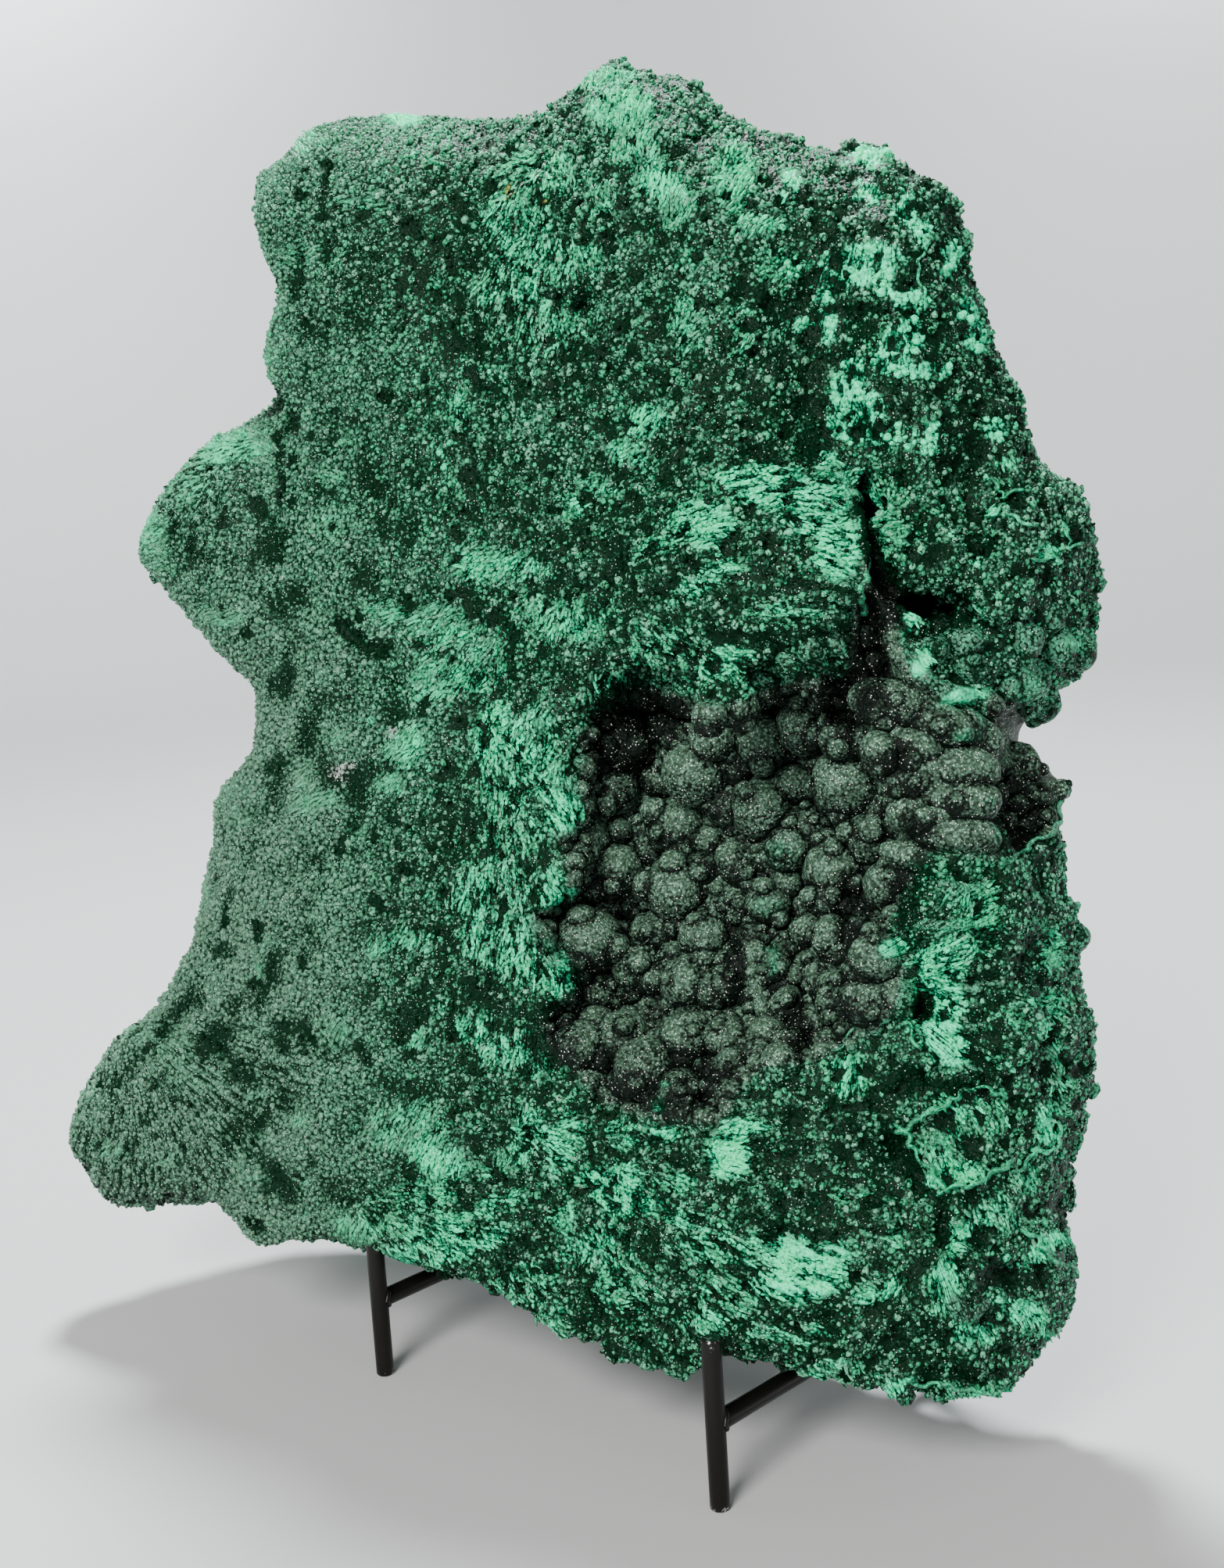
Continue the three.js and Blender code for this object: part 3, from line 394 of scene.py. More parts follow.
# Unlit hollows, deep in the stone: image place, half sizes, turn, strength
GLOOMS = (
    (815, 912, 60, 34, 15, 0.9), (800, 960, 40, 44, 0, 0.6), (1085, 900, 34, 44, 0, 0.6),
    (1112, 850, 26, 60, 0, 0.7), (706, 1330, 40, 44, 0, 0.6), (742, 1250, 36, 26, 0, 0.5),
    (1090, 1180, 22, 60, 0, 0.6), (1020, 1310, 16, 40, 0, 0.7), (1150, 970, 24, 22, 0, 0.6),
    (1300, 1040, 44, 60, 0, 0.45), (940, 1240, 14, 50, 0, 0.6), (1170, 1130, 14, 60, 20, 0.6),
    (1112, 700, 11, 60, -12, 0.9), (1136, 772, 26, 34, 0, 0.9), (1116, 840, 16, 46, 0, 0.8),
    (840, 1380, 110, 50, 0, 0.35), (1181, 1290, 12, 20, 0, 1.0), (1164, 1484, 14, 44, -30, 1.0),
    (1208, 1558, 12, 34, 0, 1.0), (1290, 1636, 24, 15, 0, 1.0), (1346, 1634, 12, 16, 0, 1.0),
    (1240, 1757, 20, 9, 0, 1.0), (1190, 1755, 12, 8, 0, 0.9), (1298, 644, 18, 11, 0, 1.0),
    (1376, 686, 9, 16, 0, 0.9), (1250, 1535, 12, 14, 0, 0.9), (1162, 1388, 40, 15, 0, 1.0),
    (1236, 1394, 46, 10, 8, 0.8), (1210, 796, 40, 12, -20, 0.7), (1326, 1010, 34, 34, 0, 0.4),
)
# Stray colours: image place, radius in pixels, colour
SPECKS = (
    (436, 996, 11, (0.82, 0.86, 0.8)), (446, 986, 8, (0.85, 0.88, 0.84)),
    (507, 936, 6, (0.8, 0.86, 0.82)), (617, 1082, 6, (0.75, 0.85, 0.8)),
    (600, 362, 5, (0.8, 0.9, 0.85)), (655, 243, 6, (0.5, 0.36, 0.05)),
    (696, 256, 7, (0.34, 0.34, 0.06)), (344, 762, 7, (0.55, 0.75, 0.65)),
)


class StoneSettings(bpy.types.PropertyGroup):
    """Sizes and colours of the stone"""

    grid: bpy.props.FloatProperty(
        name="Skin Grid", description="Spacing of the stone's skin mesh",
        default=0.0014, min=0.0012, unit="LENGTH",
    )
    most_faces: bpy.props.IntProperty(
        name="Most Faces", description="Most triangles that the skin keeps",
        default=150000, max=199000,
    )
    drawn_in: bpy.props.FloatProperty(
        name="Drawn In", description="How far the skin starts below the tips of its growths",
        default=0.002, unit="LENGTH",
    )
    lobe_spacing: bpy.props.FloatProperty(
        name="Lobe Spacing", description="Least distance between the stone's lobes",
        default=0.016, unit="LENGTH",
    )
    lump_spacing: bpy.props.FloatProperty(
        name="Lump Spacing", description="Least distance between the stone's lumps",
        default=0.008, unit="LENGTH",
    )
    grape_spacing: bpy.props.FloatProperty(
        name="Grape Spacing", description="Least distance between the cavity's grapes",
        default=0.0095, unit="LENGTH",
    )
    grain_spacing: bpy.props.FloatProperty(
        name="Grain Spacing", description="Least distance between grains of the front",
        default=0.0021, unit="LENGTH",
    )
    fibre_spacing: bpy.props.FloatProperty(
        name="Fibre Spacing", description="Least distance between fibres of the light green fans",
        default=0.00125, unit="LENGTH",
    )
    back_grain_spacing: bpy.props.FloatProperty(
        name="Back Grain Spacing", description="Least distance between grains of the back",
        default=0.005, unit="LENGTH",
    )
    druse: bpy.props.FloatVectorProperty(
        name="Druse", description="Dark green of the grains",
        subtype="COLOR", default=(0.06, 0.125, 0.088),
    )
    leaf: bpy.props.FloatVectorProperty(
        name="Leaf", description="Middle green of the growth bands",
        subtype="COLOR", default=(0.04, 0.43, 0.19),
    )
    mint: bpy.props.FloatVectorProperty(
        name="Mint", description="Light green of the fibrous fans",
        subtype="COLOR", default=(0.03, 1.0, 0.48),
    )
    velvet: bpy.props.FloatVectorProperty(
        name="Velvet", description="Near black green of the cavity",
        subtype="COLOR", default=(0.044, 0.092, 0.056),
    )
    bloom: bpy.props.FloatVectorProperty(
        name="Bloom", description="Lighter crystals on the velvety places",
        subtype="COLOR", default=(0.32, 0.6, 0.43),
    )
    # Grey green of the left side: partly the stone's own grey tone, partly painted sheen of fine
    # glints
    dust_and_sheen: bpy.props.FloatVectorProperty(
        name="Dust", description="Grey green of the stone's older side",
        subtype="COLOR", default=(0.11, 0.19, 0.13),
    )
    # Painted shade: the dark green toward which the gaps, hollows, grooves and undersides are
    # darkened
    deep: bpy.props.FloatVectorProperty(
        name="Deep", description="Dark green of the gaps between the grains",
        subtype="COLOR", default=(0.0, 0.014, 0.0045),
    )
    # Painted highlight: the colour of the glints painted on single crystal faces
    painted_glint: bpy.props.FloatVectorProperty(
        name="Spark", description="Colour of the bright crystal faces",
        subtype="COLOR", default=(0.68, 1.0, 0.84),
    )


class StandSettings(bpy.types.PropertyGroup):
    """Sizes and colours of the stand"""

    rod: bpy.props.FloatProperty(
        name="Rod", description="Thickness of the rods",
        default=0.00635, unit="LENGTH",
    )
    lacquer: bpy.props.FloatVectorProperty(
        name="Lacquer", description="Black lacquer of the rods",
        subtype="COLOR", default=(0.0022, 0.002, 0.0018),
    )
    steel: bpy.props.FloatVectorProperty(
        name="Bare Steel", description="Metal showing at the worn ends",
        subtype="COLOR", default=(0.42, 0.41, 0.4),
    )


class StudioSettings(bpy.types.PropertyGroup):
    """Floor and light"""

    floor: bpy.props.FloatVectorProperty(
        name="Floor", description="Colour of the floor", subtype="COLOR", default=(0.5, 0.505, 0.51)
    )
    lamp: bpy.props.FloatProperty(
        name="Lamp", description="Strength of the soft light from behind and above",
        default=122, unit="POWER",
    )
    fill: bpy.props.FloatProperty(
        name="Fill", description="Strength of the soft light in front",
        default=74, unit="POWER",
    )
    wash: bpy.props.FloatProperty(
        name="Wash", description="Strength of the light on the wall",
        default=36, unit="POWER",
    )
    sky: bpy.props.FloatProperty(
        name="Sky", description="Strength of the light from all round", default=0.38
    )


class Wire:
    """A node's socket that takes part in sums."""

    def __init__(self, graph, socket):
        self.graph = graph
        self.socket = socket

    def also(self, out):
        """Another socket of the same node."""
        return Wire(self.graph, self.socket.node.outputs[out])

    def maths(self, operation, *others):
        values = {i: other for i, other in enumerate((self, *others))}
        return self.graph.node("ShaderNodeMath", {"operation": operation}, values)

    def __add__(self, other):
        return self.maths("ADD", other)

    def __radd__(self, other):
        return self.maths("ADD", other)

    def __sub__(self, other):
        return self.maths("SUBTRACT", other)

    def __rsub__(self, other):
        return self.graph.node("ShaderNodeMath", {"operation": "SUBTRACT"}, {0: other, 1: self})

    def __mul__(self, other):
        return self.maths("MULTIPLY", other)

    def __rmul__(self, other):
        return self.maths("MULTIPLY", other)

    def __pow__(self, other):
        return self.maths("POWER", other)

    def least(self, other):
        return self.maths("MINIMUM", other)

    def most(self, other):
        return self.maths("MAXIMUM", other)

    def between(self, low, high):
        """0 below low, 1 above high, smooth in between."""
        settings = {"interpolation_type": "SMOOTHSTEP"}
        values = {"Value": self, "From Min": low, "From Max": high}
        return self.graph.node("ShaderNodeMapRange", settings, values)


class Graph:
    """A tree of nodes that is built up node by node."""

    def __init__(self, tree):
        self.tree = tree

    def node(self, kind, settings=None, values=None, out=0):
        """Adds a node: its settings first, then the values or wires of its sockets."""
        made = self.tree.nodes.new(kind)
        for key, setting in (settings or {}).items():
            setattr(made, key, setting)
        for key, value in (values or {}).items():
            socket = made.inputs[key]
            if isinstance(value, Wire):
                self.tree.links.new(value.socket, socket)
            else:
                socket.default_value = value
        return Wire(self, made.outputs[out]) if made.outputs else made


class Finish(Graph):
    """A material."""

    def __init__(self, name):
        self.material = bpy.data.materials.new(name)
        self.material.use_nodes = True
        super().__init__(self.material.node_tree)
        self.tree.nodes.clear()

    def mix(self, share, first, second):
        """Colour between first and second."""
        values = {0: share, 6: self.colour(first), 7: self.colour(second)}
        return self.node("ShaderNodeMix", {"data_type": "RGBA"}, values, out=2)

    def colour(self, value):
        return value if isinstance(value, Wire) else (*value, 1.0)

    def attribute(self, name, out=2):
        return self.node("ShaderNodeAttribute", {"attribute_name": name}, out=out)

    def object_place(self):
        return self.node("ShaderNodeTexCoord", out=3)

    def noise(self, place, scale, detail=3.0, roughness=0.5):
        values = {"Vector": place, "Scale": scale, "Detail": detail, "Roughness": roughness}
        return self.node("ShaderNodeTexNoise", values=values)

    def cells(self, place, scale):
        values = {"Vector": place, "Scale": scale}
        return self.node("ShaderNodeTexVoronoi", {"feature": "F1"}, values)

    def bump(self, strength, distance, height):
        values = {"Strength": strength, "Distance": distance, "Height": height}
        return self.node("ShaderNodeBump", values=values)

    def surface(self, values):
        shader = self.node("ShaderNodeBsdfPrincipled", values=values)
        self.node("ShaderNodeOutputMaterial", values={"Surface": shader})
        return self.material


class Growth(Graph):
    """Geometry nodes that are run once over an object."""

    def __init__(self, name):
        super().__init__(bpy.data.node_groups.new(name, "GeometryNodeTree"))
        for way in ("INPUT", "OUTPUT"):
            self.tree.interface.new_socket("Geometry", in_out=way, socket_type="NodeSocketGeometry")
        self.start = self.node("NodeGroupInput")

    def named(self, name, kind="FLOAT_VECTOR"):
        return self.node("GeometryNodeInputNamedAttribute", {"data_type": kind}, {"Name": name})

    def run(self, target, result):
        self.node("NodeGroupOutput", values={0: result})
        apply_modifier(target, "NODES", node_group=self.tree)


def only(target):
    """Selects one object and makes it the active one."""
    bpy.ops.object.select_all(action="DESELECT")
    target.select_set(True)
    bpy.context.view_layer.objects.active = target


def merged(first, others, name):
    only(first)
    for other in others:
        other.select_set(True)
    bpy.ops.object.join()
    first.name = name
    first.data.name = name
    return first


def apply_modifier(target, kind, **settings):
    only(target)
    modifier = target.modifiers.new(kind.title(), kind)
    for key, value in settings.items():
        setattr(modifier, key, value)
    bpy.ops.object.modifier_apply(modifier=modifier.name)


def smooth(target):
    only(target)
    bpy.ops.object.shade_smooth()


def duplicate(source, name):
    copy = bpy.data.objects.new(name, source.data.copy())
    bpy.context.scene.collection.objects.link(copy)
    return copy


def discard(target):
    mesh = target.data
    bpy.data.objects.remove(target)
    bpy.data.meshes.remove(mesh)


def points_of(mesh):
    values = np.zeros(len(mesh.vertices) * 3, np.float32)
    mesh.vertices.foreach_get("co", values)
    return values.reshape(-1, 3).astype(np.float64)


def normals_of(mesh):
    values = np.zeros(len(mesh.vertices) * 3, np.float32)
    mesh.vertex_normals.foreach_get("vector", values)
    return values.reshape(-1, 3).astype(np.float64)


def move_points(mesh, points):
    mesh.vertices.foreach_set("co", points.astype(np.float32).ravel())
    mesh.update()


def store(mesh, name, values):
    kind, key = ("FLOAT_VECTOR", "vector") if values.ndim == 2 else ("FLOAT", "value")
    attribute = mesh.attributes.get(name) or mesh.attributes.new(name, kind, "POINT")
    attribute.data.foreach_set(key, values.astype(np.float32).ravel())


def fetch(mesh, name):
    attribute = mesh.attributes[name]
    vector = attribute.data_type == "FLOAT_VECTOR"
    values = np.zeros(len(mesh.vertices) * (3 if vector else 1), np.float32)
    attribute.data.foreach_get("vector" if vector else "value", values)
    return values.reshape(-1, 3) if vector else values


def ray(x, y):
    """Direction of sight through an image place."""
    across = float(x - IMAGE_SIZE[0] / 2) / EYE_REACH
    rise = float(IMAGE_SIZE[1] / 2 - y) / EYE_REACH
    return (across * RIGHT + rise * UP - BACK).normalized()


def seen(tree, x, y):
    """Where the sight through an image place meets the stone, and the outward direction there."""
    place, normal, _, _ = tree.ray_cast(Vector(EYE_PLACE), ray(x, y))
    return place, normal


def seen_or_near(tree, x, y):
    """As seen, or the stone's nearest place where the sight passes beside it."""
    place, normal = seen(tree, x, y)
    if place is None:
        beside = Vector(EYE_PLACE) + ray(x, y) * SIGHT_DISTANCE
        place, normal, _, _ = tree.find_nearest(beside)
    return place, normal


def image_places(points):
    """Image place and distance of each point."""
    away = (points - np.array(EYE_PLACE)) @ TO_EYE
    depth = -away[:, 2]
    x = IMAGE_SIZE[0] / 2 + EYE_REACH * away[:, 0] / depth
    y = IMAGE_SIZE[1] / 2 - EYE_REACH * away[:, 1] / depth
    return x, y, depth


def depth_of(place):
    return (Vector(EYE_PLACE) - place).dot(BACK)


def waves(points, scale, octaves=3, offset=0.0):
    """Fractal unevenness about zero, for each point."""
    shift = Vector((offset, offset * 1.7, -offset))
    return np.array([noise.fractal(Vector(p) * scale + shift, 1.0, 2.1, octaves) for p in points])


def blend(values, low, high):
    share = np.clip((values - low) / (high - low), 0, 1)
    return share * share * (3 - 2 * share)


def sow(surface, spacing, seed, keep):
    """Points spread over a surface where its field keep is above a half, spacing apart or more."""
    sown = duplicate(surface, "sown")
    growth = Growth("sowing")
    limits = {0: growth.named(keep, "FLOAT"), 1: 0.5}
    kept = growth.node("FunctionNodeCompare", {"data_type": "FLOAT"}, limits)
    values = {"Mesh": growth.start, "Selection": kept, "Seed": seed}
    values |= {"Distance Min": spacing, "Density Max": 5 / spacing**2}
    method = {"distribute_method": "POISSON"}
    spread = growth.node("GeometryNodeDistributePointsOnFaces", method, values)
    facing = {"Geometry": spread, "Name": "facing", "Value": spread.also(1)}
    faced = growth.node("GeometryNodeStoreNamedAttribute", {"data_type": "FLOAT_VECTOR"}, facing)
    growth.run(sown, growth.node("GeometryNodePointsToVertices", values={"Points": faced}))
    return sown


def plant(beds, shape, name):
    """Sets a copy of shape on every point of beds, by its fields facing, lead and size."""
    growth = Growth("planting")
    align = "FunctionNodeAlignRotationToVector"
    upright = growth.node(align, {"axis": "Z"}, {"Vector": growth.named("facing")})
    values = {"Rotation": upright, "Vector": growth.named("lead")}
    turned = growth.node(align, {"axis": "X", "pivot_axis": "Z"}, values)
    model = growth.node("GeometryNodeObjectInfo", values={"Object": shape}, out=4)
    values = {"Points": growth.start, "Instance": model, "Rotation": turned}
    values["Scale"] = growth.named("size")
    planted = growth.node("GeometryNodeInstanceOnPoints", values=values)
    growth.run(beds, growth.node("GeometryNodeRealizeInstances", values={"Geometry": planted}))
    beds.name = name
    beds.data.name = name
    return beds


def bed(name, points, facing, lead, size):
    """Lone points with the fields that plant reads."""
    mesh = bpy.data.meshes.new(name)
    mesh.from_pydata([tuple(p) for p in points], [], [])
    made = bpy.data.objects.new(name, mesh)
    bpy.context.scene.collection.objects.link(made)
    store(mesh, "facing", facing)
    store(mesh, "lead", lead)
    store(mesh, "size", size)
    return made


def ball(subdivisions, name):
    """A round body of unit radius, the model for what is planted."""
    bpy.ops.object.select_all(action="DESELECT")
    bpy.ops.mesh.primitive_ico_sphere_add(subdivisions=subdivisions, radius=1.0)
    made = bpy.context.object
    made.name = name
    return made


def line_points(line, step):
    """Places along an image line, a step of pixels apart."""
    corners = np.array(line, float)
    lengths = np.hypot(*np.diff(corners, axis=0).T)
    reach = np.concatenate([[0], np.cumsum(lengths)])
    where = np.linspace(0, reach[-1], max(2, int(reach[-1] / step) + 1))
    return np.column_stack([np.interp(where, reach, values) for values in corners.T])


def base_skin(drawn_in):
    """The solid's form as one even skin, drawn in by the height of what grows on it."""
    skin = duplicate(frame["nodes"]["malachite"], "skin")
    only(skin)
    bpy.ops.object.mode_set(mode="EDIT")
    bpy.ops.mesh.select_all(action="SELECT")
    bpy.ops.mesh.remove_doubles(threshold=1e-6)
    bpy.ops.object.mode_set(mode="OBJECT")
    remesh(skin, FORM_GRID)
    apply_modifier(skin, "SMOOTH", factor=0.5, iterations=2)
    points = points_of(skin.data)
    x, _, _ = image_places(points)
    heave = 0.003 * waves(points, 30, 3)
    inward = drawn_in * blend(x, *DRAWN_SIDE)
    points = shifted(points)
    move_points(skin.data, points + (heave - inward)[:, None] * normals_of(skin.data))
    return skin


def shifted(points):
    """Moves the points near the outline across the line of sight."""
    x, y, depth = image_places(points)
    moved = points.copy()
    for px, py, reach, right, down in SHIFTS:
        share = (1 - blend(np.hypot(x - px, y - py), 0, reach)) * (depth / EYE_REACH)
        moved += share[:, None] * (right * np.array(RIGHT) - down * np.array(UP))
    return moved


def marked(points, outlines):
    """1 inside the outlines on the front of the stone, 0 elsewhere."""
    x, y, depth = image_places(points)
    inside = np.zeros(len(points))
    for outline in outlines:
        inside = np.maximum(inside, inside_outline(x, y, outline))
    return inside * (1 - blend(depth, *FRONT_FADE))


def inside_outline(x, y, outline):
    inside = np.zeros(len(x), bool)
    for (x0, y0), (x1, y1) in zip(outline, outline[1:] + outline[:1]):
        crosses = (y0 > y) != (y1 > y)
        edge = x0 + (y - y0) * (x1 - x0) / ((y1 - y0) or 1e-9)
        inside ^= crosses & (x < edge)
    return inside.astype(float)


def lump_beds(skin, spacing, low, high, sunk, seed, keep):
    """Places for round growths over a skin, with radii from low to high, sunk in by a share."""
    beds = sow(skin, spacing, seed, keep)
    points, facing = points_of(beds.data), fetch(beds.data, "facing")
    calm = fetch(beds.data, "calm")
    rolls = np.random.default_rng(seed)
    radius = (low + (high - low) * rolls.random(len(points)) ** 1.5) * (1 - 0.3 * calm)
    size = radius[:, None] * rolls.uniform(0.85, 1.15, (len(points), 3))
    depth = radius * np.clip(sunk + 0.3 * calm + 0.15 * rolls.normal(size=len(points)), 0.1, 0.95)
    move_points(beds.data, points - facing * depth[:, None])
    store(beds.data, "lead", rolls.normal(size=(len(points), 3)))
    store(beds.data, "size", size)
    return beds


def lumps(skin, shape, *choices):
    return plant(lump_beds(skin, *choices), shape, "lumps")


class Layout:
    """Growths that are laid out one by one, at image places."""

    def __init__(self, tree):
        self.tree = tree
        self.rows = []

    def add(self, place, normal, towards, sizes):
        self.rows.append([tuple(place), tuple(normal), tuple(towards), tuple(sizes)])

    def grapes(self):
        for x, y, reach in GRAPES:
            place, normal = seen_or_near(self.tree, x, y)
            radius = reach * depth_of(place) / EYE_REACH
            self.add(place + ray(x, y) * radius * 0.1, normal, RIGHT, (radius,) * 3)

    def rolls(self):
        for x, y, half_x, half_y, turn in ROLLS:
            place, normal = seen_or_near(self.tree, x, y)
            scale = depth_of(place) / EYE_REACH
            angle = math.radians(turn)
            towards = math.cos(angle) * RIGHT + math.sin(angle) * UP
            sunk = place + ray(x, y) * half_y * scale * 0.5
            sizes = (1.1 * half_x * scale, 1.2 * half_y * scale, 1.1 * half_y * scale)
            self.add(sunk, -ray(x, y), towards, sizes)

    def walls(self):
        for line, rise, thick in WALLS:
            track = line_points(line, 3)
            steps = np.arange(len(track))[:, None]
            track = track + 4 * np.sin(steps * (0.31, 0.23) + (0.0, 2.0))
            track = track + 2 * np.sin(steps * (0.9, 0.7))
            for (x, y), (dx, dy) in zip(track, np.gradient(track, axis=0)):
                place, _ = seen_or_near(self.tree, x, y)
                scale = depth_of(place) / EYE_REACH
                towards = (RIGHT * float(dx) - UP * float(dy)).normalized()
                sizes = (6 * scale, 0.75 * thick * scale, 1.7 * rise * scale)
                self.add(place, -ray(x, y), towards, sizes)

    def beds(self, name):
        return bed(name, *(np.array(column) for column in zip(*self.rows)))


def tree_of(target):
    return BVHTree.FromObject(target, bpy.context.evaluated_depsgraph_get())


def carve_grooves(tree, points):
    """Presses the grooves and pits into the skin, with uneven edges, and gives back how deep each
    point is pressed, which the finish darkens as painted shade.
    """
    x, y, depth = image_places(points)
    x = x + 5 * waves(points, 160, 2, 1.0)
    y = y + 5 * waves(points, 160, 2, 2.0)
    pressed = np.zeros(len(points))
    for line, half_width, deep in GROOVES:
        for tx, ty in line_points(line, half_width * 0.5):
            place, _ = seen_or_near(tree, tx, ty)
            near = np.abs(depth - depth_of(place)) < GROOVE_DEPTH_REACH
            away = np.hypot(x - tx, y - ty) / half_width
            pressed = np.maximum(pressed, np.where(near & (away < 1), deep * (1 - away**2), 0))
    sight = points - np.array(EYE_PLACE)
    sight /= np.linalg.norm(sight, axis=1)[:, None]
    return points + sight * pressed[:, None], pressed


def patch_field(tree, patches, x, y, depth):
    """Greatest strength of any patch at each point."""
    field = np.zeros(len(x))
    for px, py, half_x, half_y, turn, strength in patches:
        place, _ = seen_or_near(tree, px, py)
        c, s = math.cos(math.radians(turn)), math.sin(math.radians(turn))
        dx, dy = x - px, y - py
        away = np.hypot((c * dx + s * dy) / half_x, (c * dy - s * dx) / half_y)
        near = np.abs(depth - depth_of(place)) < 0.012 + 1.2 * max(half_x, half_y) * PIXEL
        field = np.maximum(field, np.where(near, strength * (1 - blend(away, 0.7, 1.25)), 0))
    return field


def growth_field(tree, points, x, y):
    """Where each point lies in its fan of fibres, and the direction in which its fibres run."""
    best = np.full(len(points), 0.05)
    spot = place_in_fan(tree, points, x, y, *GROWTH_CENTRE, 0)
    for number, (fx, fy, heading, spread, reach) in enumerate(FANS, 1):
        angle = np.degrees(np.arctan2(-(y - fy), x - fx))
        off = np.abs((angle - heading + 180) % 360 - 180)
        away = np.hypot(x - fx, y - fy)
        weight = 1 - blend(off, spread * 0.8, spread * 1.1)
        weight = weight * (1 - blend(away, reach * 0.8, reach * 1.1))
        fan = place_in_fan(tree, points, x, y, fx, fy, number)
        better = weight > best
        for field, values in zip(spot, fan):
            field[better] = values[better]
        best = np.maximum(best, weight)
    return (*spot, best)


def place_in_fan(tree, points, x, y, fx, fy, number):
    """Place along and across a fan's fibres, told apart by number, and the way from its root."""
    root, _ = seen_or_near(tree, fx, fy)
    away = np.hypot(x - fx, y - fy) * PIXEL
    angle = np.arctan2(-(y - fy), x - fx)
    place = np.column_stack([angle * 0.06, away * 0.14, np.full(len(x), number * 0.37)])
    return place, points - np.array(root)


def hollowness(mesh, points, normals):
    """How far each point lies below its surroundings, which are evened out three times."""
    edges = np.zeros(len(mesh.edges) * 2, np.int32)
    mesh.edges.foreach_get("vertices", edges)
    first, second = edges.reshape(-1, 2).T
    total = len(points)
    count = np.bincount(first, minlength=total) + np.bincount(second, minlength=total)
    evened = points.copy()
    for _ in range(3):
        sums = [
            np.bincount(first, values[second], total) + np.bincount(second, values[first], total)
            for values in evened.T
        ]
        evened = np.column_stack(sums) / count[:, None]
    return np.einsum("ij,ij->i", evened - points, normals)


class MALACHITE_OT_stone(bpy.types.Operator):
    """Builds the stone's skin with its lobes, lumps, grooves and pits"""

    bl_idname = "malachite.stone"
    bl_label = "Stone"

    def execute(self, context):
        settings = context.scene.malachite_stone
        stone = base_skin(settings.drawn_in)
        tree = tree_of(stone)
        shape = ball(2, "round_growth")
        spacing = settings.lump_spacing
        mark_skin(stone.data)
        growths = [lumps(stone, shape, settings.lobe_spacing, *LOBES, 3, "outside")]
        remesh(merged(stone, growths, "malachite_stone"), LOBE_GRID)
        mark_skin(stone.data)
        growths = [
            lumps(stone, shape, spacing, *LUMPS, 5, "outside"),
            lumps(stone, shape, spacing, *LUMPS, 7, "cavity"),
        ]
        remesh(merged(stone, growths, "malachite_stone"), LUMP_GRID)
        pressed_points, _ = carve_grooves(tree, points_of(stone.data))
        move_points(stone.data, pressed_points)
        mark_skin(stone.data)
        growths = [
            lumps(stone, shape, spacing * 0.55, *KNOBS, 9, "outside"),
            lumps(stone, shape, spacing * 0.7, *CAVITY_KNOBS, 11, "cavity"),
        ]
        discard(shape)
        remesh(merged(stone, growths, "malachite_stone"), settings.grid)
        apply_modifier(stone, "DECIMATE", ratio=min(1.0, settings.most_faces / count_faces(stone)))
        smooth(stone)
        points = points_of(stone.data)
        pits = pitted(points)
        _, pressed = carve_grooves(tree, points)
        move_points(stone.data, points - PIT_DEPTH * pits[:, None] * normals_of(stone.data))
        # The pressed depth of the grooves and the pits is darkened as painted shade
        mark_stone(tree, stone.data, pressed + 0.012 * pits, marked(points, VELVET_OUTLINES))
        store(stone.data, "pits", pits)
        stone.data.materials.clear()
        stone.data.materials.append(malachite_finish(settings))
        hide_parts("malachite")
        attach(stone, "root")
        return {"FINISHED"}


def pitted(points):
    """Small irregular pits between the growths."""
    x, y, _ = image_places(points)
    wanted = 0.46 - 0.12 * blend(waves(points, 14, 2, 9.0), -0.2, 0.4)
    wanted = wanted + 0.28 * (1 - blend(x, 430, 600))
    pits = blend(waves(points, 190, 3, 8.0), wanted, wanted + 0.1)
    return pits * (1 - marked(points, VELVET_OUTLINES))


def remesh(target, spacing):
    apply_modifier(target, "REMESH", mode="VOXEL", voxel_size=spacing)


def mark_skin(mesh):
    """Gives the skin the fields by which its growths are spread."""
    points = points_of(mesh)
    velvet = marked(points, VELVET_OUTLINES)
    x, _, _ = image_places(points)
    store(mesh, "outside", 1 - velvet)
    store(mesh, "cavity", marked(points, [CAVITY_OUTLINE]))
    store(mesh, "velvet", velvet)
    store(mesh, "calm", 1 - blend(x, *CALM_SIDE))


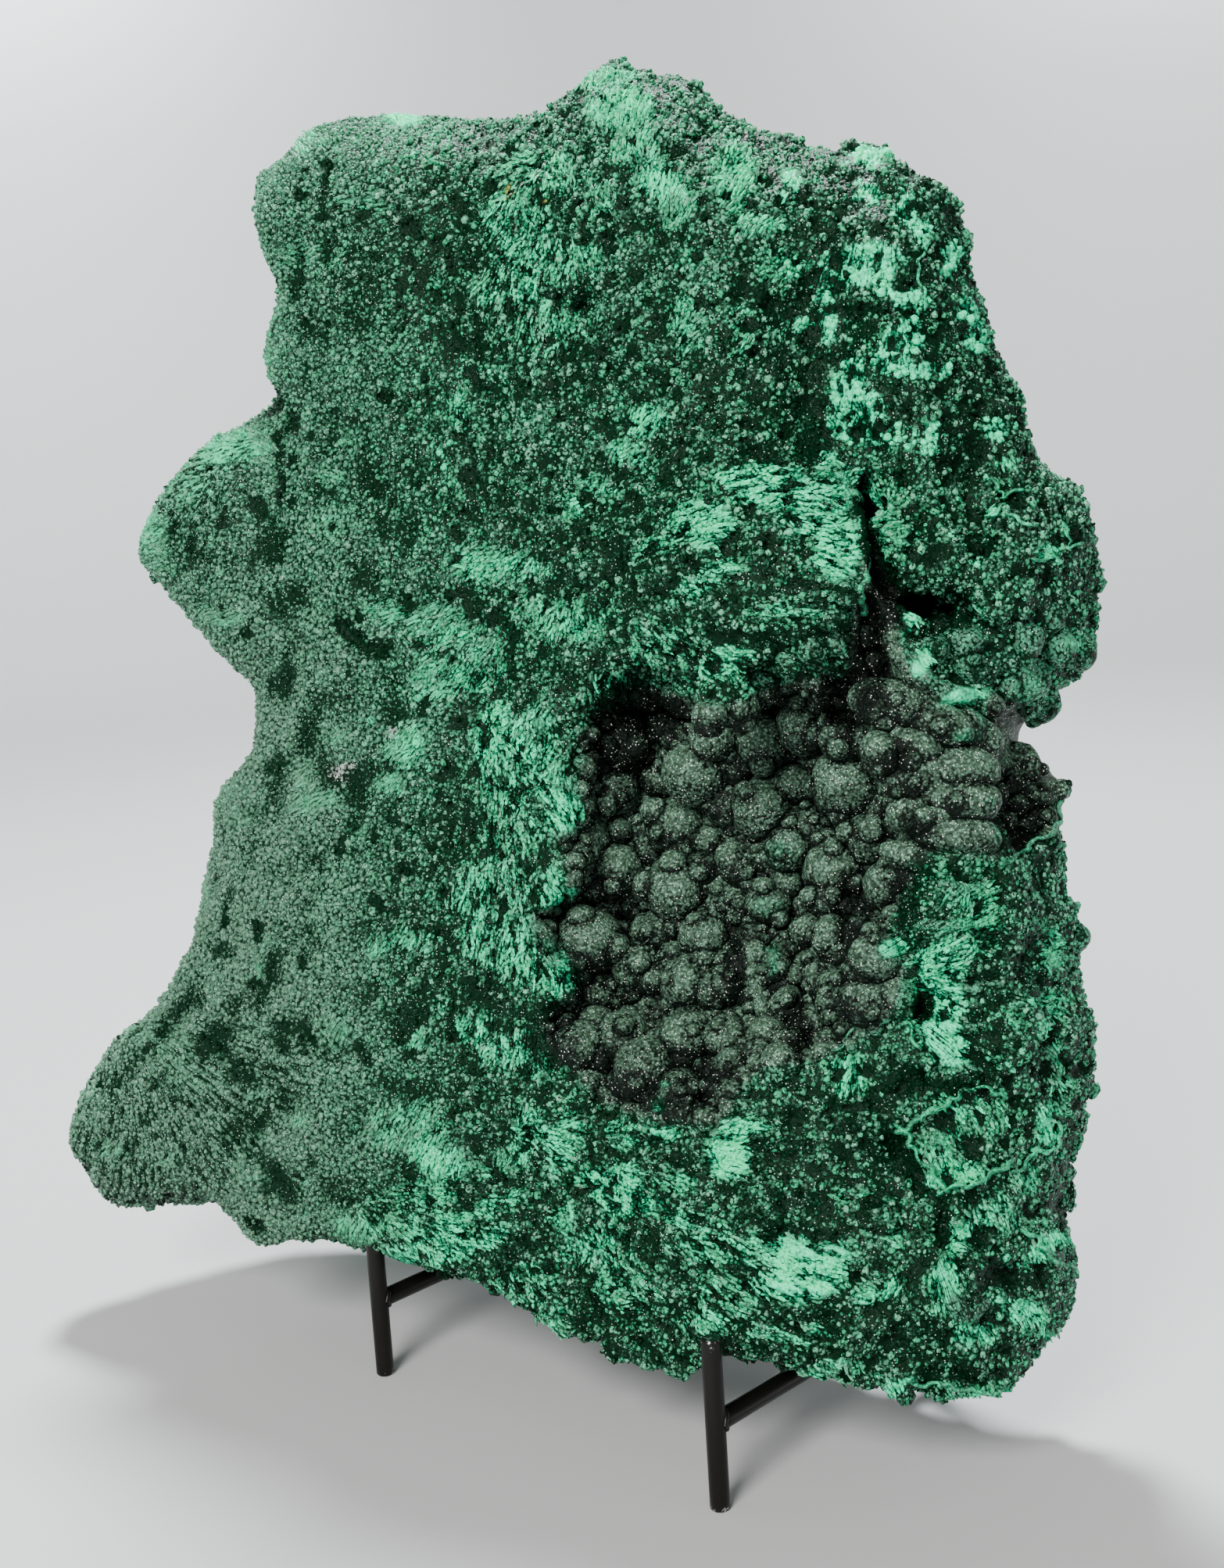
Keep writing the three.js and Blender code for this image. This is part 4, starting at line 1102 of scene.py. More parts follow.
def mark_stone(tree, mesh, pressed, crust):
    """Gives the skin the fields that its finish and its grains read."""
    points, normals = points_of(mesh), normals_of(mesh)
    x, y, depth = image_places(points)
    front = blend(normals @ np.array(BACK), -0.35, 0.0)
    growth, lead, fan = growth_field(tree, points, x, y)
    store(mesh, "fan", blend(fan, 0.1, 0.7) * front)
    lead -= normals * np.einsum("ij,ij->i", lead, normals)[:, None]
    rough = waves(points, 28, 3)
    hidden = blend(waves(points, 16, 3, 5.0), 0.15, 0.6) * 0.55 * (1 - front)
    wavering_x = x + 6 * waves(points, 110, 3, 3.0)
    wavering_y = y + 6 * waves(points, 110, 3, 4.0)
    mint = np.maximum(patch_field(tree, MINT_PATCHES, wavering_x, wavering_y, depth), hidden)
    solid = 0.4 * blend(x, 1000, 1040) * (1 - blend(y, 570, 610))
    mint = mint + solid * blend(mint, 0.3, 0.5) * front
    store(mesh, "mint", np.clip(mint + 0.12 * rough * (mint > 0.05), 0, 1))
    store(mesh, "pure", patch_field(tree, PURE_PATCHES, x, y, depth))
    store(mesh, "crust", crust + np.zeros(len(points)))
    mark_skin(mesh)
    fleck, flecked = np.zeros((len(points), 3)), np.zeros(len(points))
    for px, py, reach, shade in SPECKS:
        there = (np.hypot(wavering_x - px, wavering_y - py) < reach) & (front > 0.3)
        fleck[there] = shade
        flecked[there] = 1.0
    store(mesh, "fleck", fleck)
    store(mesh, "flecked", flecked)
    store(mesh, "gloom", patch_field(tree, GLOOMS, wavering_x, wavering_y, depth))
    # Depth below the surroundings and in the grooves and pits, which the finish darkens as painted
    # shade
    hollow = blend(hollowness(mesh, points, normals) * 1000, -0.1, 0.9)
    store(mesh, "hollow", hollow + 90 * pressed)
    # Greyer to the left, lower down and where the stone faces the eye: partly its own grey tone,
    # partly painted sheen
    grey = blend(620 - x, 0, 300) * (0.45 + 0.55 * front)
    store(mesh, "grey", grey * (0.45 + 0.55 * blend(y, 600, 950)))
    store(mesh, "growth", growth)
    store(mesh, "lead", lead / np.linalg.norm(lead, axis=1)[:, None])
    store(mesh, "front", front)
    # How much the surface faces up; the finish darkens the undersides with it as painted shade
    store(mesh, "upward", blend(normals[:, 2], -0.5, 0.7))


def count_faces(target):
    return sum(len(face.vertices) - 2 for face in target.data.polygons)


def malachite_finish(settings):
    """Dark grains, light green fans, velvet in the cavity, dark gaps of painted shade and bright
    crystal faces of painted glints.
    """
    finish = Finish("drusy_malachite")
    place = finish.object_place()
    growth = finish.attribute("growth", out=1)
    mint = finish.attribute("mint")
    cavity = finish.attribute("cavity")
    tint = finish.attribute("tint")
    grey = finish.attribute("grey")
    hollow = finish.attribute("hollow").least(1.0)
    velvety = finish.attribute("velvet") * (1 - mint)
    streak = finish.noise(growth, 700.0, 3.0, 0.65)
    threads = finish.noise(growth, 2200.0, 2.0, 0.5)
    clouds = finish.noise(place, 45.0, 4.0, 0.6)
    fine = finish.noise(place, 900.0, 3.0, 0.65)
    crumbs = finish.cells(place, 950.0)
    dots = finish.cells(place, 1500.0)
    chance = finish.node("ShaderNodeSeparateColor", values={"Color": dots.also(1)})
    leafy = 0.45 * clouds + 0.45 * streak + 0.3 * tint + 0.4 * finish.attribute("pure") + 0.3 * mint
    leafy = (leafy * (1 - 0.6 * cavity)).between(0.4, 0.95)
    greens = finish.mix(leafy, settings.druse, settings.leaf)
    stray = (tint * 7.3).maths("FRACT").between(0.4, 1.0) * 0.42
    ground = finish.mix(stray, greens, settings.bloom)
    uneven = (streak - 0.5) * 1.5 + (threads - 0.5) * 1.2 + (tint - 0.5) * 0.4 + (fine - 0.5) * 0.5
    minty = mint * 1.04 + uneven * (1.15 - 0.8 * mint)
    coloured = finish.mix(minty.between(0.4, 0.9), ground, settings.mint)
    greyed = finish.mix(grey * (0.1 + 0.5 * tint + 0.7 * clouds), coloured, settings.dust_and_sheen)
    velvet = finish.mix(velvety, greyed, settings.velvet)
    # Lighter crystals in random cells, which partly stand in for painted sparkle
    speckle = chance.also(1) ** 2.5 * (0.6 + 0.4 * velvety)
    light = finish.mix(velvety.most(grey * 0.7), settings.mint, settings.bloom)
    lit = finish.mix(speckle * 0.6, velvet, light)
    flecked = finish.mix(finish.attribute("flecked"), lit, finish.attribute("fleck", out=1))
    # Painted shade on the bare skin that shows between the grains; the grains and the cavity's skin
    # count as crust
    under = (1 - finish.attribute("crust")) * (1 - 0.6 * mint) * 0.45
    # Painted shade along the borders of small cells, as in the gaps between crystals
    gaps = crumbs.between(0.4, 0.75) * 0.75 * (1 - 0.6 * mint) * (1 - 0.3 * velvety)
    # Painted shade of radial furrows along the fans' fibres
    furrow_shade = (1 - streak.between(0.4, 0.5)) * finish.attribute("fan") * 0.7
    furrow_shade = furrow_shade * (1 - velvety) * (1 - 0.3 * mint)
    # Painted shade in the hollows and grooves, and on the undersides as if lit from above
    lower = 1 - finish.attribute("upward")
    hollow_and_underside_shade = hollow * (0.85 - 0.05 * velvety) * (1 - 0.4 * mint)
    hollow_and_underside_shade = hollow_and_underside_shade + lower * (0.15 + 0.4 * velvety)
    # Painted shade under and between the grains, with fine random tone, less on the grey side
    rough = (under + gaps + (fine - 0.5) * (1.1 - 0.5 * mint)) * (1 - 0.4 * grey)
    shade = hollow_and_underside_shade + rough + furrow_shade + finish.attribute("gloom")
    shade = shade.most(0.0).least(0.97) * velvety + shade.between(0.08, 0.88) * (1 - velvety)
    # Painted shade darkens the colour toward a dark green, nearly black in the velvet
    dark = finish.mix(velvety, settings.deep, VELVET_SHADE)
    shaded = finish.mix(shade, flecked, dark)
    # Painted highlights: glints on rare small dots, fewer in hollows and on the light green
    rare = (chance + 0.06 * velvety).between(0.86, 0.96)
    glint = rare * (1 - dots.between(0.2, 0.36)) * (1 - 0.7 * hollow) * (1 - 0.5 * mint)
    with_painted_glints = finish.mix(glint, shaded, finish.mix(velvety, settings.painted_glint, VELVET_GLINT))
    return finish.surface(
        {
            "Base Color": with_painted_glints,
            "Roughness": 0.45 - 0.2 * glint,
            "Specular IOR Level": 0.08,
            "Normal": finish.bump(0.7, 0.0005, 0.6 * fine - crumbs),
        }
    )


def fold_tube(tree, line, reach, proud):
    """A rounded fold that follows an image line over the stone."""
    track = line_points(line, reach * 0.8)
    data = bpy.data.curves.new("fold", "CURVE")
    data.dimensions = "3D"
    data.bevel_resolution = 6
    data.resolution_u = 5
    data.use_fill_caps = True
    spline = data.splines.new("BEZIER")
    spline.bezier_points.add(len(track) - 1)
    for number, (knot, (x, y)) in enumerate(zip(spline.bezier_points, track)):
        place, normal = seen_or_near(tree, x, y)
        radius = reach * depth_of(place) / EYE_REACH
        knot.co = place - normal * radius * (0.2 - proud)
        knot.handle_left_type = knot.handle_right_type = "AUTO"
        end = min(number, len(track) - 1 - number) / max(1, len(track) - 1)
        knot.radius = radius * (0.6 + 0.4 * min(1.0, end * 4))
    data.bevel_depth = 1.0
    tube = bpy.data.objects.new("fold", data)
    bpy.context.scene.collection.objects.link(tube)
    only(tube)
    bpy.ops.object.convert(target="MESH")
    return bpy.context.object


def axes_of(beds):
    """The turn of what is planted on each point, as matrices of its axes."""
    upright, lead = fetch(beds.data, "facing"), fetch(beds.data, "lead")
    across = lead - upright * np.einsum("ij,ij->i", lead, upright)[:, None]
    across /= np.linalg.norm(across, axis=1)[:, None]
    return np.stack([across, np.cross(upright, across), upright], axis=2)


def narrowness(points, numbers, centres, turns, sizes):
    """How near each point of a round growth lies to another one, 1 where they touch."""
    near = np.zeros(len(points))
    for number, (centre, turn, size) in enumerate(zip(centres, turns, sizes)):
        reach = size.max() + 0.003
        close = np.flatnonzero((np.abs(points - centre) < reach).all(axis=1) & (numbers != number))
        gap = (np.linalg.norm((points[close] - centre) @ turn / size, axis=1) - 1) * size.min()
        near[close] = np.maximum(near[close], np.exp(-np.maximum(gap, 0) / 0.0007))
    return near


def bunches(beds, seed):
    """Smaller growths that stand on the larger ones."""
    rolls = np.random.default_rng(seed)
    points, facing = points_of(beds.data), fetch(beds.data, "facing")
    size = fetch(beds.data, "size").min(axis=1)
    chosen = np.repeat(np.arange(len(points)), 2)
    heading = facing[chosen] + 0.8 * rolls.normal(size=(len(chosen), 3))
    heading /= np.linalg.norm(heading, axis=1)[:, None]
    radius = size[chosen] * rolls.uniform(0.28, 0.5, len(chosen))
    places = points[chosen] + heading * (size[chosen] * 0.85)[:, None]
    lead = rolls.normal(size=(len(chosen), 3))
    return bed("bunches", places, heading, lead, radius[:, None] * np.ones(3))


def finish_growth(tree, growth, stone, unevenness):
    """Roughens a growth, marks it like the skin and gives it the stone's finish."""
    points, normals = points_of(growth.data), normals_of(growth.data)
    move_points(growth.data, points + (unevenness * waves(points, 220, 3))[:, None] * normals)
    smooth(growth)
    mark_stone(tree, growth.data, np.zeros(len(points)), 1.0)
    growth.data.materials.clear()
    growth.data.materials.append(stone.data.materials[0])
    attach(growth, "root")


class MALACHITE_OT_grapes(bpy.types.Operator):
    """Fills the cavity with round growths that press on each other"""

    bl_idname = "malachite.grapes"
    bl_label = "Grapes"

    def execute(self, context):
        settings = context.scene.malachite_stone
        stone = bpy.data.objects["malachite_stone"]
        tree = tree_of(stone)
        laid = Layout(tree)
        laid.grapes()
        laid.rolls()
        large = laid.beds("grapes")
        spacing = settings.grape_spacing
        usual = lump_beds(stone, spacing, *USUAL_GRAPES, 31, "cavity")
        little = lump_beds(stone, spacing * 0.55, *LITTLE_GRAPES, 33, "cavity")
        small = merged(bunches(large, 35), [bunches(usual, 36), usual, little], "small_grapes")
        forms = [np.concatenate(pair) for pair in zip(form_of(large), form_of(small))]
        first = 0
        for beds, name, detail in ((large, "grapes", 3), (small, "small_grapes", 2)):
            count = len(beds.data.vertices)
            store(beds.data, "number", np.arange(first, first + count, dtype=float))
            first += count
            shape = ball(detail, "round_growth")
            grapes = plant(beds, shape, name)
            discard(shape)
            numbers = fetch(grapes.data, "number")
            # Where the grapes touch, the finish darkens them as painted shade
            gaps = narrowness(points_of(grapes.data), numbers, *forms)
            finish_growth(tree, grapes, stone, GRAPE_WAVES)
            store(grapes.data, "hollow", gaps)
        return {"FINISHED"}


def form_of(beds):
    return points_of(beds.data), axes_of(beds), fetch(beds.data, "size")


class MALACHITE_OT_folds(bpy.types.Operator):
    """Lays the rounded folds and the thin walls over the stone's right side"""

    bl_idname = "malachite.folds"
    bl_label = "Folds"

    def execute(self, context):
        stone = bpy.data.objects["malachite_stone"]
        tree = tree_of(stone)
        tubes = [fold_tube(tree, line, reach, proud) for line, reach, proud in FOLDS]
        folds = merged(tubes[0], tubes[1:], "folds")
        remesh(folds, FOLD_GRID)
        apply_modifier(folds, "SMOOTH", factor=0.5, iterations=3)
        finish_growth(tree, folds, stone, FOLD_WAVES)
        shape = ball(2, "wall_stone")
        laid = Layout(tree)
        laid.walls()
        walls = plant(laid.beds("thin_walls"), shape, "thin_walls")
        discard(shape)
        finish_growth(tree, walls, stone, WALL_WAVES)
        store(walls.data, "mint", np.maximum(fetch(walls.data, "mint"), WALL_MINT))
        store(walls.data, "gloom", np.zeros(len(walls.data.vertices)))
        return {"FINISHED"}


class MALACHITE_OT_grains(bpy.types.Operator):
    """Covers the stone with a crust of small grains"""

    bl_idname = "malachite.grains"
    bl_label = "Grains"

    def execute(self, context):
        settings = context.scene.malachite_stone
        mesh = bpy.data.objects["malachite_stone"].data
        x, _, _ = image_places(points_of(mesh))
        front = fetch(mesh, "front") > 0.5
        even = front & (fetch(mesh, "velvet") < 0.5) & (fetch(mesh, "pits") < 0.5)
        whole = even & (fetch(mesh, "mint") < GRAIN_MINT) & ~silky(mesh)
        usual = settings.grain_spacing
        first, second, third = GRAIN_ZONES
        zones = {
            "left": (whole & (x < first), usual * 0.95),
            "middle_left": (whole & (x >= first) & (x < second), usual),
            "middle_right": (whole & (x >= second) & (x < third), usual),
            "right": (whole & (x >= third), usual),
            "silky": (even & silky(mesh), usual),
            "back": (~front, settings.back_grain_spacing),
        }
        grain = ball(1, "grain")
        for number, (name, (chosen, spacing)) in enumerate(zones.items()):
            strew(f"grains_{name}", chosen, spacing, grain, size_grains, number, True)
        discard(grain)
        solid = bpy.data.objects["grains_silky"].data
        store(solid, "mint", np.maximum(fetch(solid, "mint"), SILKY_MINT))
        return {"FINISHED"}


def silky(mesh):
    """Whether a place lies in the smooth, solid patches of the upper right."""
    x, y, _ = image_places(points_of(mesh))
    return (fetch(mesh, "mint") >= FIBRE_MINT) & (x > SILKY_COLUMN) & (y < SILKY_ROW)


class MALACHITE_OT_fibres(bpy.types.Operator):
    """Covers the light green fans with fibres, and fits all that has grown to the solid's box"""

    bl_idname = "malachite.fibres"
    bl_label = "Fibres"

    def execute(self, context):
        settings = context.scene.malachite_stone
        mesh = bpy.data.objects["malachite_stone"].data
        x, _, _ = image_places(points_of(mesh))
        pale = (fetch(mesh, "front") > 0.5) & (fetch(mesh, "pits") < 0.5)
        pale &= (fetch(mesh, "mint") >= FIBRE_MINT) & ~silky(mesh)
        bpy.ops.object.select_all(action="DESELECT")
        bpy.ops.mesh.primitive_uv_sphere_add(segments=4, ring_count=2, radius=1.0)
        fibre = bpy.context.object
        first, second = FIBRE_ZONES
        zones = {"left": x < first, "middle": (x >= first) & (x < second), "right": x >= second}
        spacing = settings.fibre_spacing
        for number, (name, zone) in enumerate(zones.items(), 10):
            strew(f"fibres_{name}", pale & zone, spacing, fibre, size_fibres, number, False)
        discard(fibre)
        fit_to_box(context.scene)
        return {"FINISHED"}


def strew(name, chosen, spacing, shape, size, seed, rounded):
    """Plants one zone of the stone with grains or fibres."""
    stone = bpy.data.objects["malachite_stone"]
    store(stone.data, "chosen", chosen.astype(float))
    beds = sow(stone, spacing, 20 + seed, "chosen")
    size(beds.data, spacing, seed)
    grown = plant(beds, shape, name)
    points = points_of(grown.data)
    rolls = np.random.default_rng(60 + seed)
    move_points(grown.data, points + 0.06 * spacing * rolls.normal(size=points.shape))
    if rounded:
        smooth(grown)
    grown.data.materials.clear()
    grown.data.materials.append(stone.data.materials[0])
    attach(grown, "root")


def size_grains(mesh, spacing, seed):
    """Sizes, leans and tints the grains of one zone."""
    rolls = np.random.default_rng(100 + seed)
    points, facing = points_of(mesh), fetch(mesh, "facing")
    count = len(points)
    hollow = np.clip(fetch(mesh, "hollow"), 0, 1)
    radius = spacing * (0.38 + 0.42 * rolls.random(count) ** 2.2) * (1 - 0.25 * hollow)
    tints = 0.05 if spacing > COARSE_SPACING else 0.7
    size = radius[:, None] * rolls.uniform(0.8, 1.2, (count, 3))
    lean = facing + 0.5 * rolls.normal(size=(count, 3))
    store(mesh, "facing", lean / np.linalg.norm(lean, axis=1)[:, None])
    store(mesh, "lead", rolls.normal(size=(count, 3)))
    store(mesh, "size", size)
    store(mesh, "tint", 0.3 + tints * rolls.random(count))
    store(mesh, "crust", np.ones(count))
    move_points(mesh, points + facing * (radius * rolls.uniform(-0.35, 0.35, count))[:, None])


def size_fibres(mesh, spacing, seed):
    """Sizes, leans and tints the fibres of one zone, tips outward."""
    rolls = np.random.default_rng(100 + seed)
    points, facing, lead = points_of(mesh), fetch(mesh, "facing"), fetch(mesh, "lead")
    count = len(points)
    thick = spacing * rolls.uniform(0.4, 0.62, count)
    length = spacing * rolls.uniform(0.8, 2.2, count)
    run = lead + facing * rolls.uniform(0.1, 0.6, count)[:, None]
    run = run + 0.2 * rolls.normal(size=(count, 3))
    store(mesh, "facing", run / np.linalg.norm(run, axis=1)[:, None])
    store(mesh, "lead", facing)
    store(mesh, "size", np.column_stack([thick, thick, length]))
    store(mesh, "tint", rolls.random(count))
    store(mesh, "crust", np.ones(count))
    move_points(mesh, points + facing * (thick * rolls.uniform(-0.2, 0.9, count))[:, None])


def fit_to_box(scene):
    """Draws the grown pieces in where their tips pass the solid's box."""
    grown = [piece for piece in scene.objects if piece.name.startswith(GROWN)]
    reach = [points_of(piece.data) for piece in grown]
    low = np.min([points.min(axis=0) for points in reach], axis=0)
    high = np.max([points.max(axis=0) for points in reach], axis=0)
    for piece, points in zip(grown, reach):
        for axis in range(3):
            values = points[:, axis]
            ceiling = CAD_BOX[1][axis] - FIT_MARGIN
            start = ceiling - FIT_BAND
            inner = brought_in(values, start, high[axis] - ceiling)
            values = np.where(values > start, inner, values)
            floor = CAD_BOX[0][axis] + FIT_MARGIN
            start = floor + FIT_BAND
            inner = brought_in(values, start, floor - low[axis])
            values = np.where(values < start, inner, values)
            points[:, axis] = values
        move_points(piece.data, points)


def brought_in(values, start, over):
    """Values beyond start, brought nearer so that the farthest, over beyond the band, meets it."""
    return start + (values - start) * FIT_BAND / (FIT_BAND + max(0.0, over))


class MALACHITE_OT_stand(bpy.types.Operator):
    """Builds the round rods of the stand, with a bead of weld where one ends on another"""

    bl_idname = "malachite.stand"
    bl_label = "Stand"

    def execute(self, context):
        settings = context.scene.malachite_stand
        lacquer = lacquer_finish(settings)
        lines = {
            name: rod_line(points_of(node.data))
            for name, node in frame["nodes"].items()
            if name != "malachite"
        }
        for name, (start, end) in lines.items():
            rod = straight_rod(start, end, settings.rod / 2)
            beads = [
                weld_bead(tip, (far - tip).normalized(), other, settings.rod)
                for tip, far in ((start, end), (end, start))
                for other_name, other in lines.items()
                if other_name != name and ends_on(tip, other, settings.rod)
            ]
            rod = merged(rod, beads, f"rod_{name}")
            points = points_of(rod.data)
            away = [np.linalg.norm(points - np.array(tip), axis=1) for tip in (start, end)]
            wear = 1.0 if name.endswith(("post", "leg")) else 0.6
            store(rod.data, "end", (1 - blend(np.min(away, axis=0), 0.003, 0.008)) * wear)
            rod.data.materials.clear()
            rod.data.materials.append(lacquer)
            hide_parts(name)
            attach(rod, "root")
        return {"FINISHED"}


def straight_rod(start, end, radius):
    """A round rod whose edges are broken at both ends."""
    length = (end - start).length
    middle = np.linspace(0.004, length - 0.004, 24)
    steps = [0.0, 0.0003, 0.0008, *middle, length - 0.0008, length - 0.0003, length]
    slim = {0.0: 0.82, 0.0003: 0.93, length - 0.0003: 0.93, length: 0.82}
    track = [start.lerp(end, step / length) for step in steps]
    return drawn_tube(track, [radius * slim.get(step, 1.0) for step in steps], 11)


def rod_line(points):
    """The two ends of a rod's middle line."""
    centred = points - points.mean(axis=0)
    axis = np.linalg.svd(centred, full_matrices=False)[2][0]
    along = np.argmax(np.abs(axis))
    low, high = points.min(axis=0), points.max(axis=0)
    if abs(axis[along]) > 0.999:
        start = (low + high) / 2
        end = start.copy()
        start[along], end[along] = low[along], high[along]
    else:
        middle, reach = points.mean(axis=0), centred @ axis
        start, end = middle + axis * reach.min(), middle + axis * reach.max()
    return Vector(start.tolist()), Vector(end.tolist())


def nearest_on(line, place):
    start, end = line
    share = (place - start).dot(end - start) / (end - start).length_squared
    return start.lerp(end, min(max(share, 0.0), 1.0))


def ends_on(tip, line, thick):
    """Whether a rod's tip lies on another rod's side, away from that rod's own ends."""
    near = nearest_on(line, tip)
    inward = min((near - end).length for end in line)
    return (near - tip).length < thick * 0.9 and inward > thick * 0.3


def weld_bead(tip, away, line, thick):
    """A bead of weld round the end of a rod, on the side of the rod that it meets."""
    side = (line[1] - line[0]).normalized()
    across = away.cross(side).normalized()
    centre, radius = nearest_on(line, tip), thick / 2
    track = []
    for step in range(36):
        angle = math.radians(step * 10)
        u, v = radius * math.cos(angle), radius * math.sin(angle)
        rise = math.sqrt(max(0.0, (radius * 1.02) ** 2 - u * u)) + 0.0002
        track.append(centre + away * rise + across * u + side * v)
    rolls = np.random.default_rng(9)
    return drawn_tube(track, list(0.0009 * rolls.uniform(0.75, 1.15, len(track))), 3, cyclic=True)


def drawn_tube(track, radii, detail, cyclic=False):
    """A round bar along a line of points."""
    data = bpy.data.curves.new("tube", "CURVE")
    data.dimensions = "3D"
    data.bevel_resolution = detail
    data.bevel_depth = 1.0
    data.use_fill_caps = True
    spline = data.splines.new("POLY")
    spline.points.add(len(track) - 1)
    spline.use_cyclic_u = cyclic
    for knot, place, radius in zip(spline.points, track, radii):
        knot.co = (*place, 1.0)
        knot.radius = float(radius)
    tube = bpy.data.objects.new("tube", data)
    bpy.context.scene.collection.objects.link(tube)
    only(tube)
    bpy.ops.object.convert(target="MESH")
    made = bpy.context.object
    only(made)
    bpy.ops.object.shade_smooth_by_angle(angle=math.radians(50))
    return made


def lacquer_finish(settings):
    """Black lacquer, dusty in places and worn through at the rods' ends."""
    finish = Finish("satin_lacquer")
    place = finish.object_place()
    patchy = finish.noise(place, 420.0, 4.0, 0.65)
    worn = (finish.attribute("end") * 0.4 + patchy).between(0.96, 0.985)
    coat = finish.mix(finish.noise(place, 60.0), settings.lacquer, DUSTY_LACQUER)
    return finish.surface(
        {
            "Base Color": finish.mix(worn, coat, settings.steel),
            "Metallic": worn,
            "Roughness": 0.3 + 0.16 * finish.noise(place, 160.0),
            "Specular IOR Level": 0.22,
            "Normal": finish.bump(0.2, 0.0003, finish.noise(place, 900.0)),
        }
    )


class MALACHITE_OT_studio(bpy.types.Operator):
    """Builds the floor that turns up into the wall, the lights and the camera"""

    bl_idname = "malachite.studio"
    bl_label = "Studio"

    def execute(self, context):
        settings = context.scene.malachite_studio
        studio_floor(settings)
        studio_light(context, settings)
        studio_camera(context)
        return {"FINISHED"}


def studio_floor(settings):
    bpy.ops.object.select_all(action="DESELECT")
    bpy.ops.mesh.primitive_circle_add(vertices=96, radius=FLOOR_RADIUS, fill_type="NGON")
    floor = bpy.context.object
    floor.name = "studio_floor"
    bpy.ops.object.mode_set(mode="EDIT")
    bpy.ops.mesh.select_all(action="SELECT")
    reach, rise = FLOOR_RADIUS, 0.0
    for step in range(1, CURVE_STEPS + 1):
        angle = math.radians(step * 90 / CURVE_STEPS)
        new_reach = FLOOR_RADIUS + CURVE_RADIUS * math.sin(angle)
        new_rise = CURVE_RADIUS * (1 - math.cos(angle))
        wider = new_reach / reach
        bpy.ops.mesh.extrude_region_move(TRANSFORM_OT_translate={"value": (0, 0, new_rise - rise)})
        bpy.ops.transform.resize(value=(wider, wider, 1), center_override=(0, 0, 0))
        reach, rise = new_reach, new_rise
    bpy.ops.mesh.extrude_region_move(TRANSFORM_OT_translate={"value": (0, 0, WALL_HEIGHT)})
    bpy.ops.mesh.delete(type="ONLY_FACE")
    bpy.ops.object.mode_set(mode="OBJECT")
    smooth(floor)
    finish = Finish("studio_grey")
    colour = (*settings.floor, 1.0)
    floor.data.materials.append(finish.surface({"Base Color": colour, "Roughness": 0.85}))


def studio_light(context, settings):
    world = bpy.data.worlds.new("studio_air")
    world.use_nodes = True
    air = world.node_tree.nodes["Background"]
    air.inputs["Color"].default_value = (1.0, 0.975, 0.94, 1.0)
    air.inputs["Strength"].default_value = settings.sky
    context.scene.world = world
    lamp_at("rear_lamp", (-0.55, 0.6, 2.1), (0, 0, 0), 0.4, settings.lamp)
    lamp_at("front_lamp", (0.65, -1.75, 1.45), (0, 0, 0.2), 0.9, settings.fill, (1.0, 0.98, 0.95))
    lamp_at("left_wall_lamp", (-2.3, 1.15, 1.6), (-2.9, 1.45, 1.2), 0.5, settings.wash)
    lamp_at("right_wall_lamp", (-1.0, 2.4, 1.6), (-1.25, 2.95, 1.2), 0.5, settings.wash * 0.6)


def lamp_at(name, place, target, size, power, colour=(0.93, 0.98, 1.0)):
    bpy.ops.object.select_all(action="DESELECT")
    bpy.ops.object.light_add(type="AREA", location=place)
    lamp = bpy.context.object
    lamp.name = name
    lamp.visible_camera = False
    lamp.data.shape = "DISK"
    lamp.data.size = size
    lamp.data.energy = power
    lamp.data.color = colour
    aim = Vector(target) - lamp.location
    lamp.rotation_euler = aim.to_track_quat("-Z", "Y").to_euler()


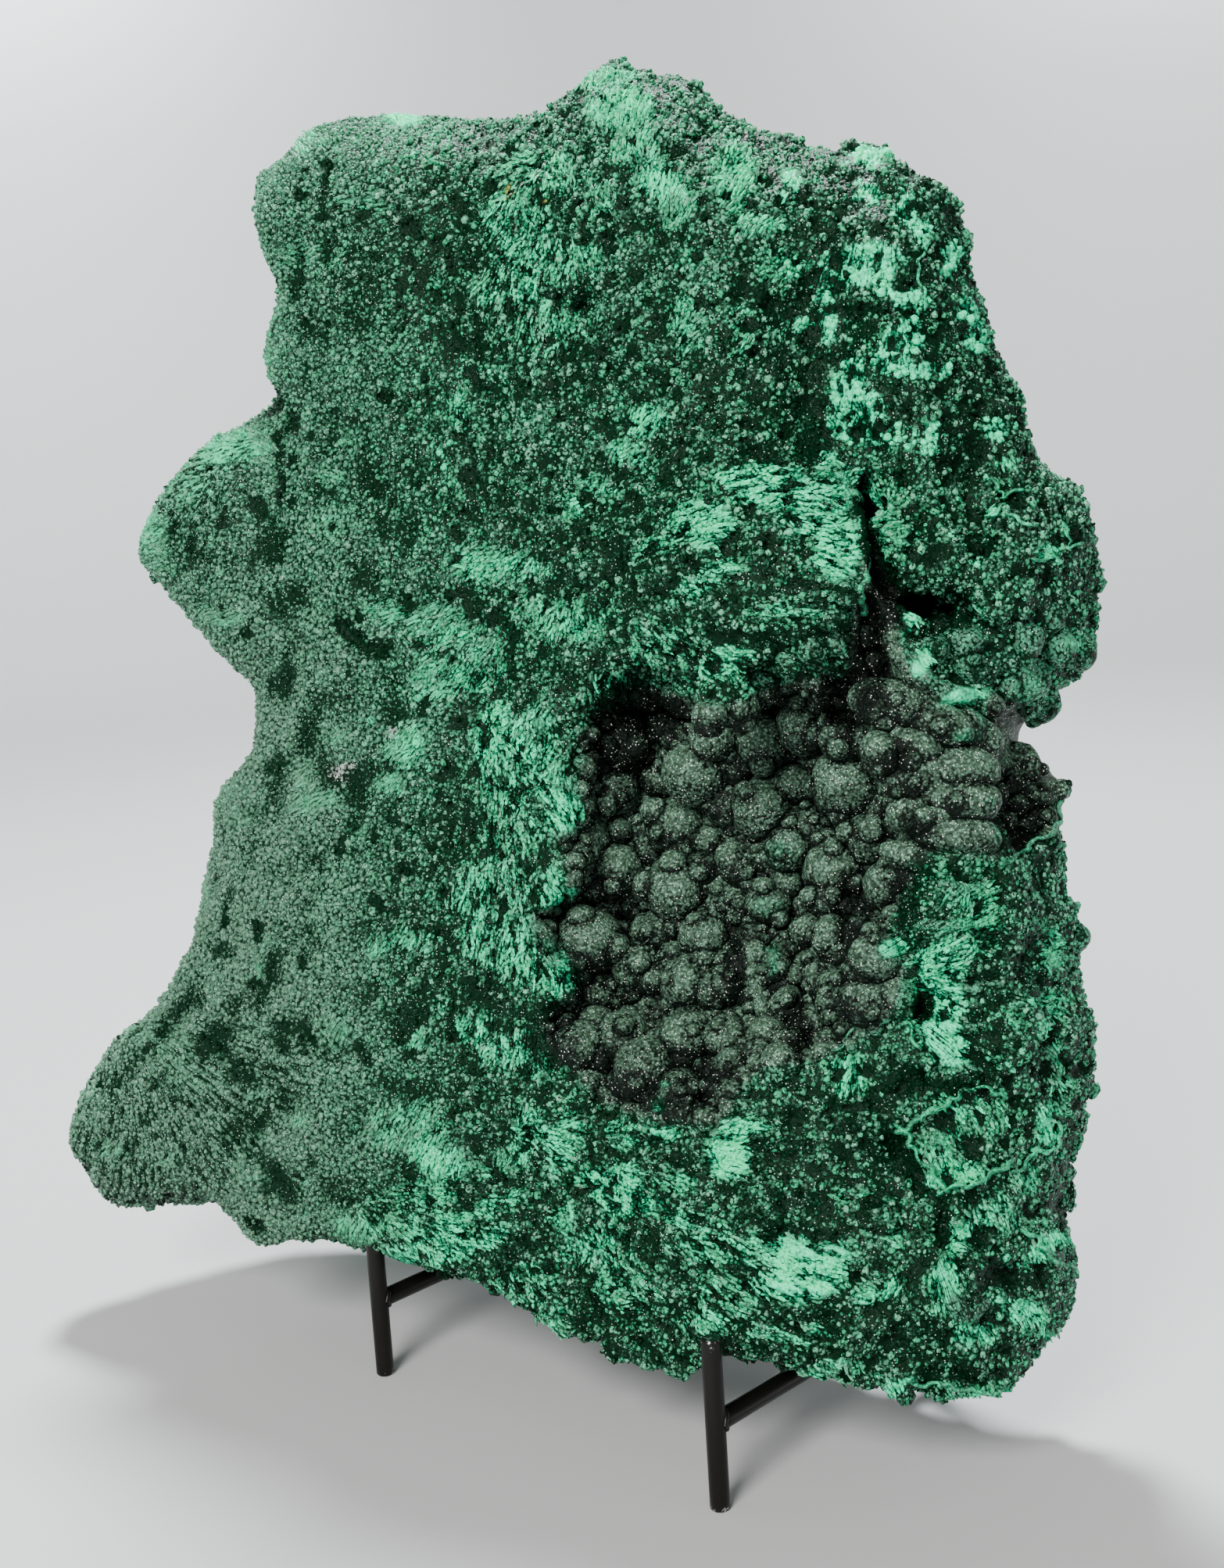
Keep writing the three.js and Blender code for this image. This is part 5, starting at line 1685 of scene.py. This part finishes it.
def studio_camera(context):
    data = bpy.data.cameras.new("eye")
    camera = bpy.data.objects.new("eye", data)
    context.scene.collection.objects.link(camera)
    data.sensor_width = SENSOR
    data.lens = EYE_REACH / max(IMAGE_SIZE) * SENSOR
    data.clip_start, data.clip_end = 0.01, 20
    turn = Matrix((RIGHT, UP, BACK)).transposed().to_4x4()
    camera.matrix_world = Matrix.Translation(EYE_PLACE) @ turn
    context.scene.camera = camera


class MALACHITE_PT_panel(bpy.types.Panel):
    """Lists the pieces of the specimen"""

    bl_idname = "MALACHITE_PT_panel"
    bl_label = "Malachite Specimen"
    bl_space_type = "VIEW_3D"
    bl_region_type = "UI"
    bl_category = "Malachite"

    def draw(self, context):
        column, scene = self.layout.column(), context.scene
        for settings in (scene.malachite_stone, scene.malachite_stand, scene.malachite_studio):
            for name in settings.__annotations__:
                column.prop(settings, name)
        for operator in OPERATORS:
            column.operator(operator.bl_idname)


OPERATORS = (
    MALACHITE_OT_stone,
    MALACHITE_OT_grapes,
    MALACHITE_OT_folds,
    MALACHITE_OT_grains,
    MALACHITE_OT_fibres,
    MALACHITE_OT_stand,
    MALACHITE_OT_studio,
)
CLASSES = (StoneSettings, StandSettings, StudioSettings, *OPERATORS, MALACHITE_PT_panel)


def register():
    for cls in CLASSES:
        bpy.utils.register_class(cls)
    bpy.types.Scene.malachite_stone = bpy.props.PointerProperty(type=StoneSettings)
    bpy.types.Scene.malachite_stand = bpy.props.PointerProperty(type=StandSettings)
    bpy.types.Scene.malachite_studio = bpy.props.PointerProperty(type=StudioSettings)


def unregister():
    del bpy.types.Scene.malachite_studio
    del bpy.types.Scene.malachite_stand
    del bpy.types.Scene.malachite_stone
    for cls in reversed(CLASSES):
        bpy.utils.unregister_class(cls)


def main():
    register()
    bpy.ops.malachite.stone()
    bpy.ops.malachite.grapes()
    bpy.ops.malachite.folds()
    bpy.ops.malachite.grains()
    bpy.ops.malachite.fibres()
    bpy.ops.malachite.stand()
    bpy.ops.malachite.studio()


if __name__ == "__main__":
    main()
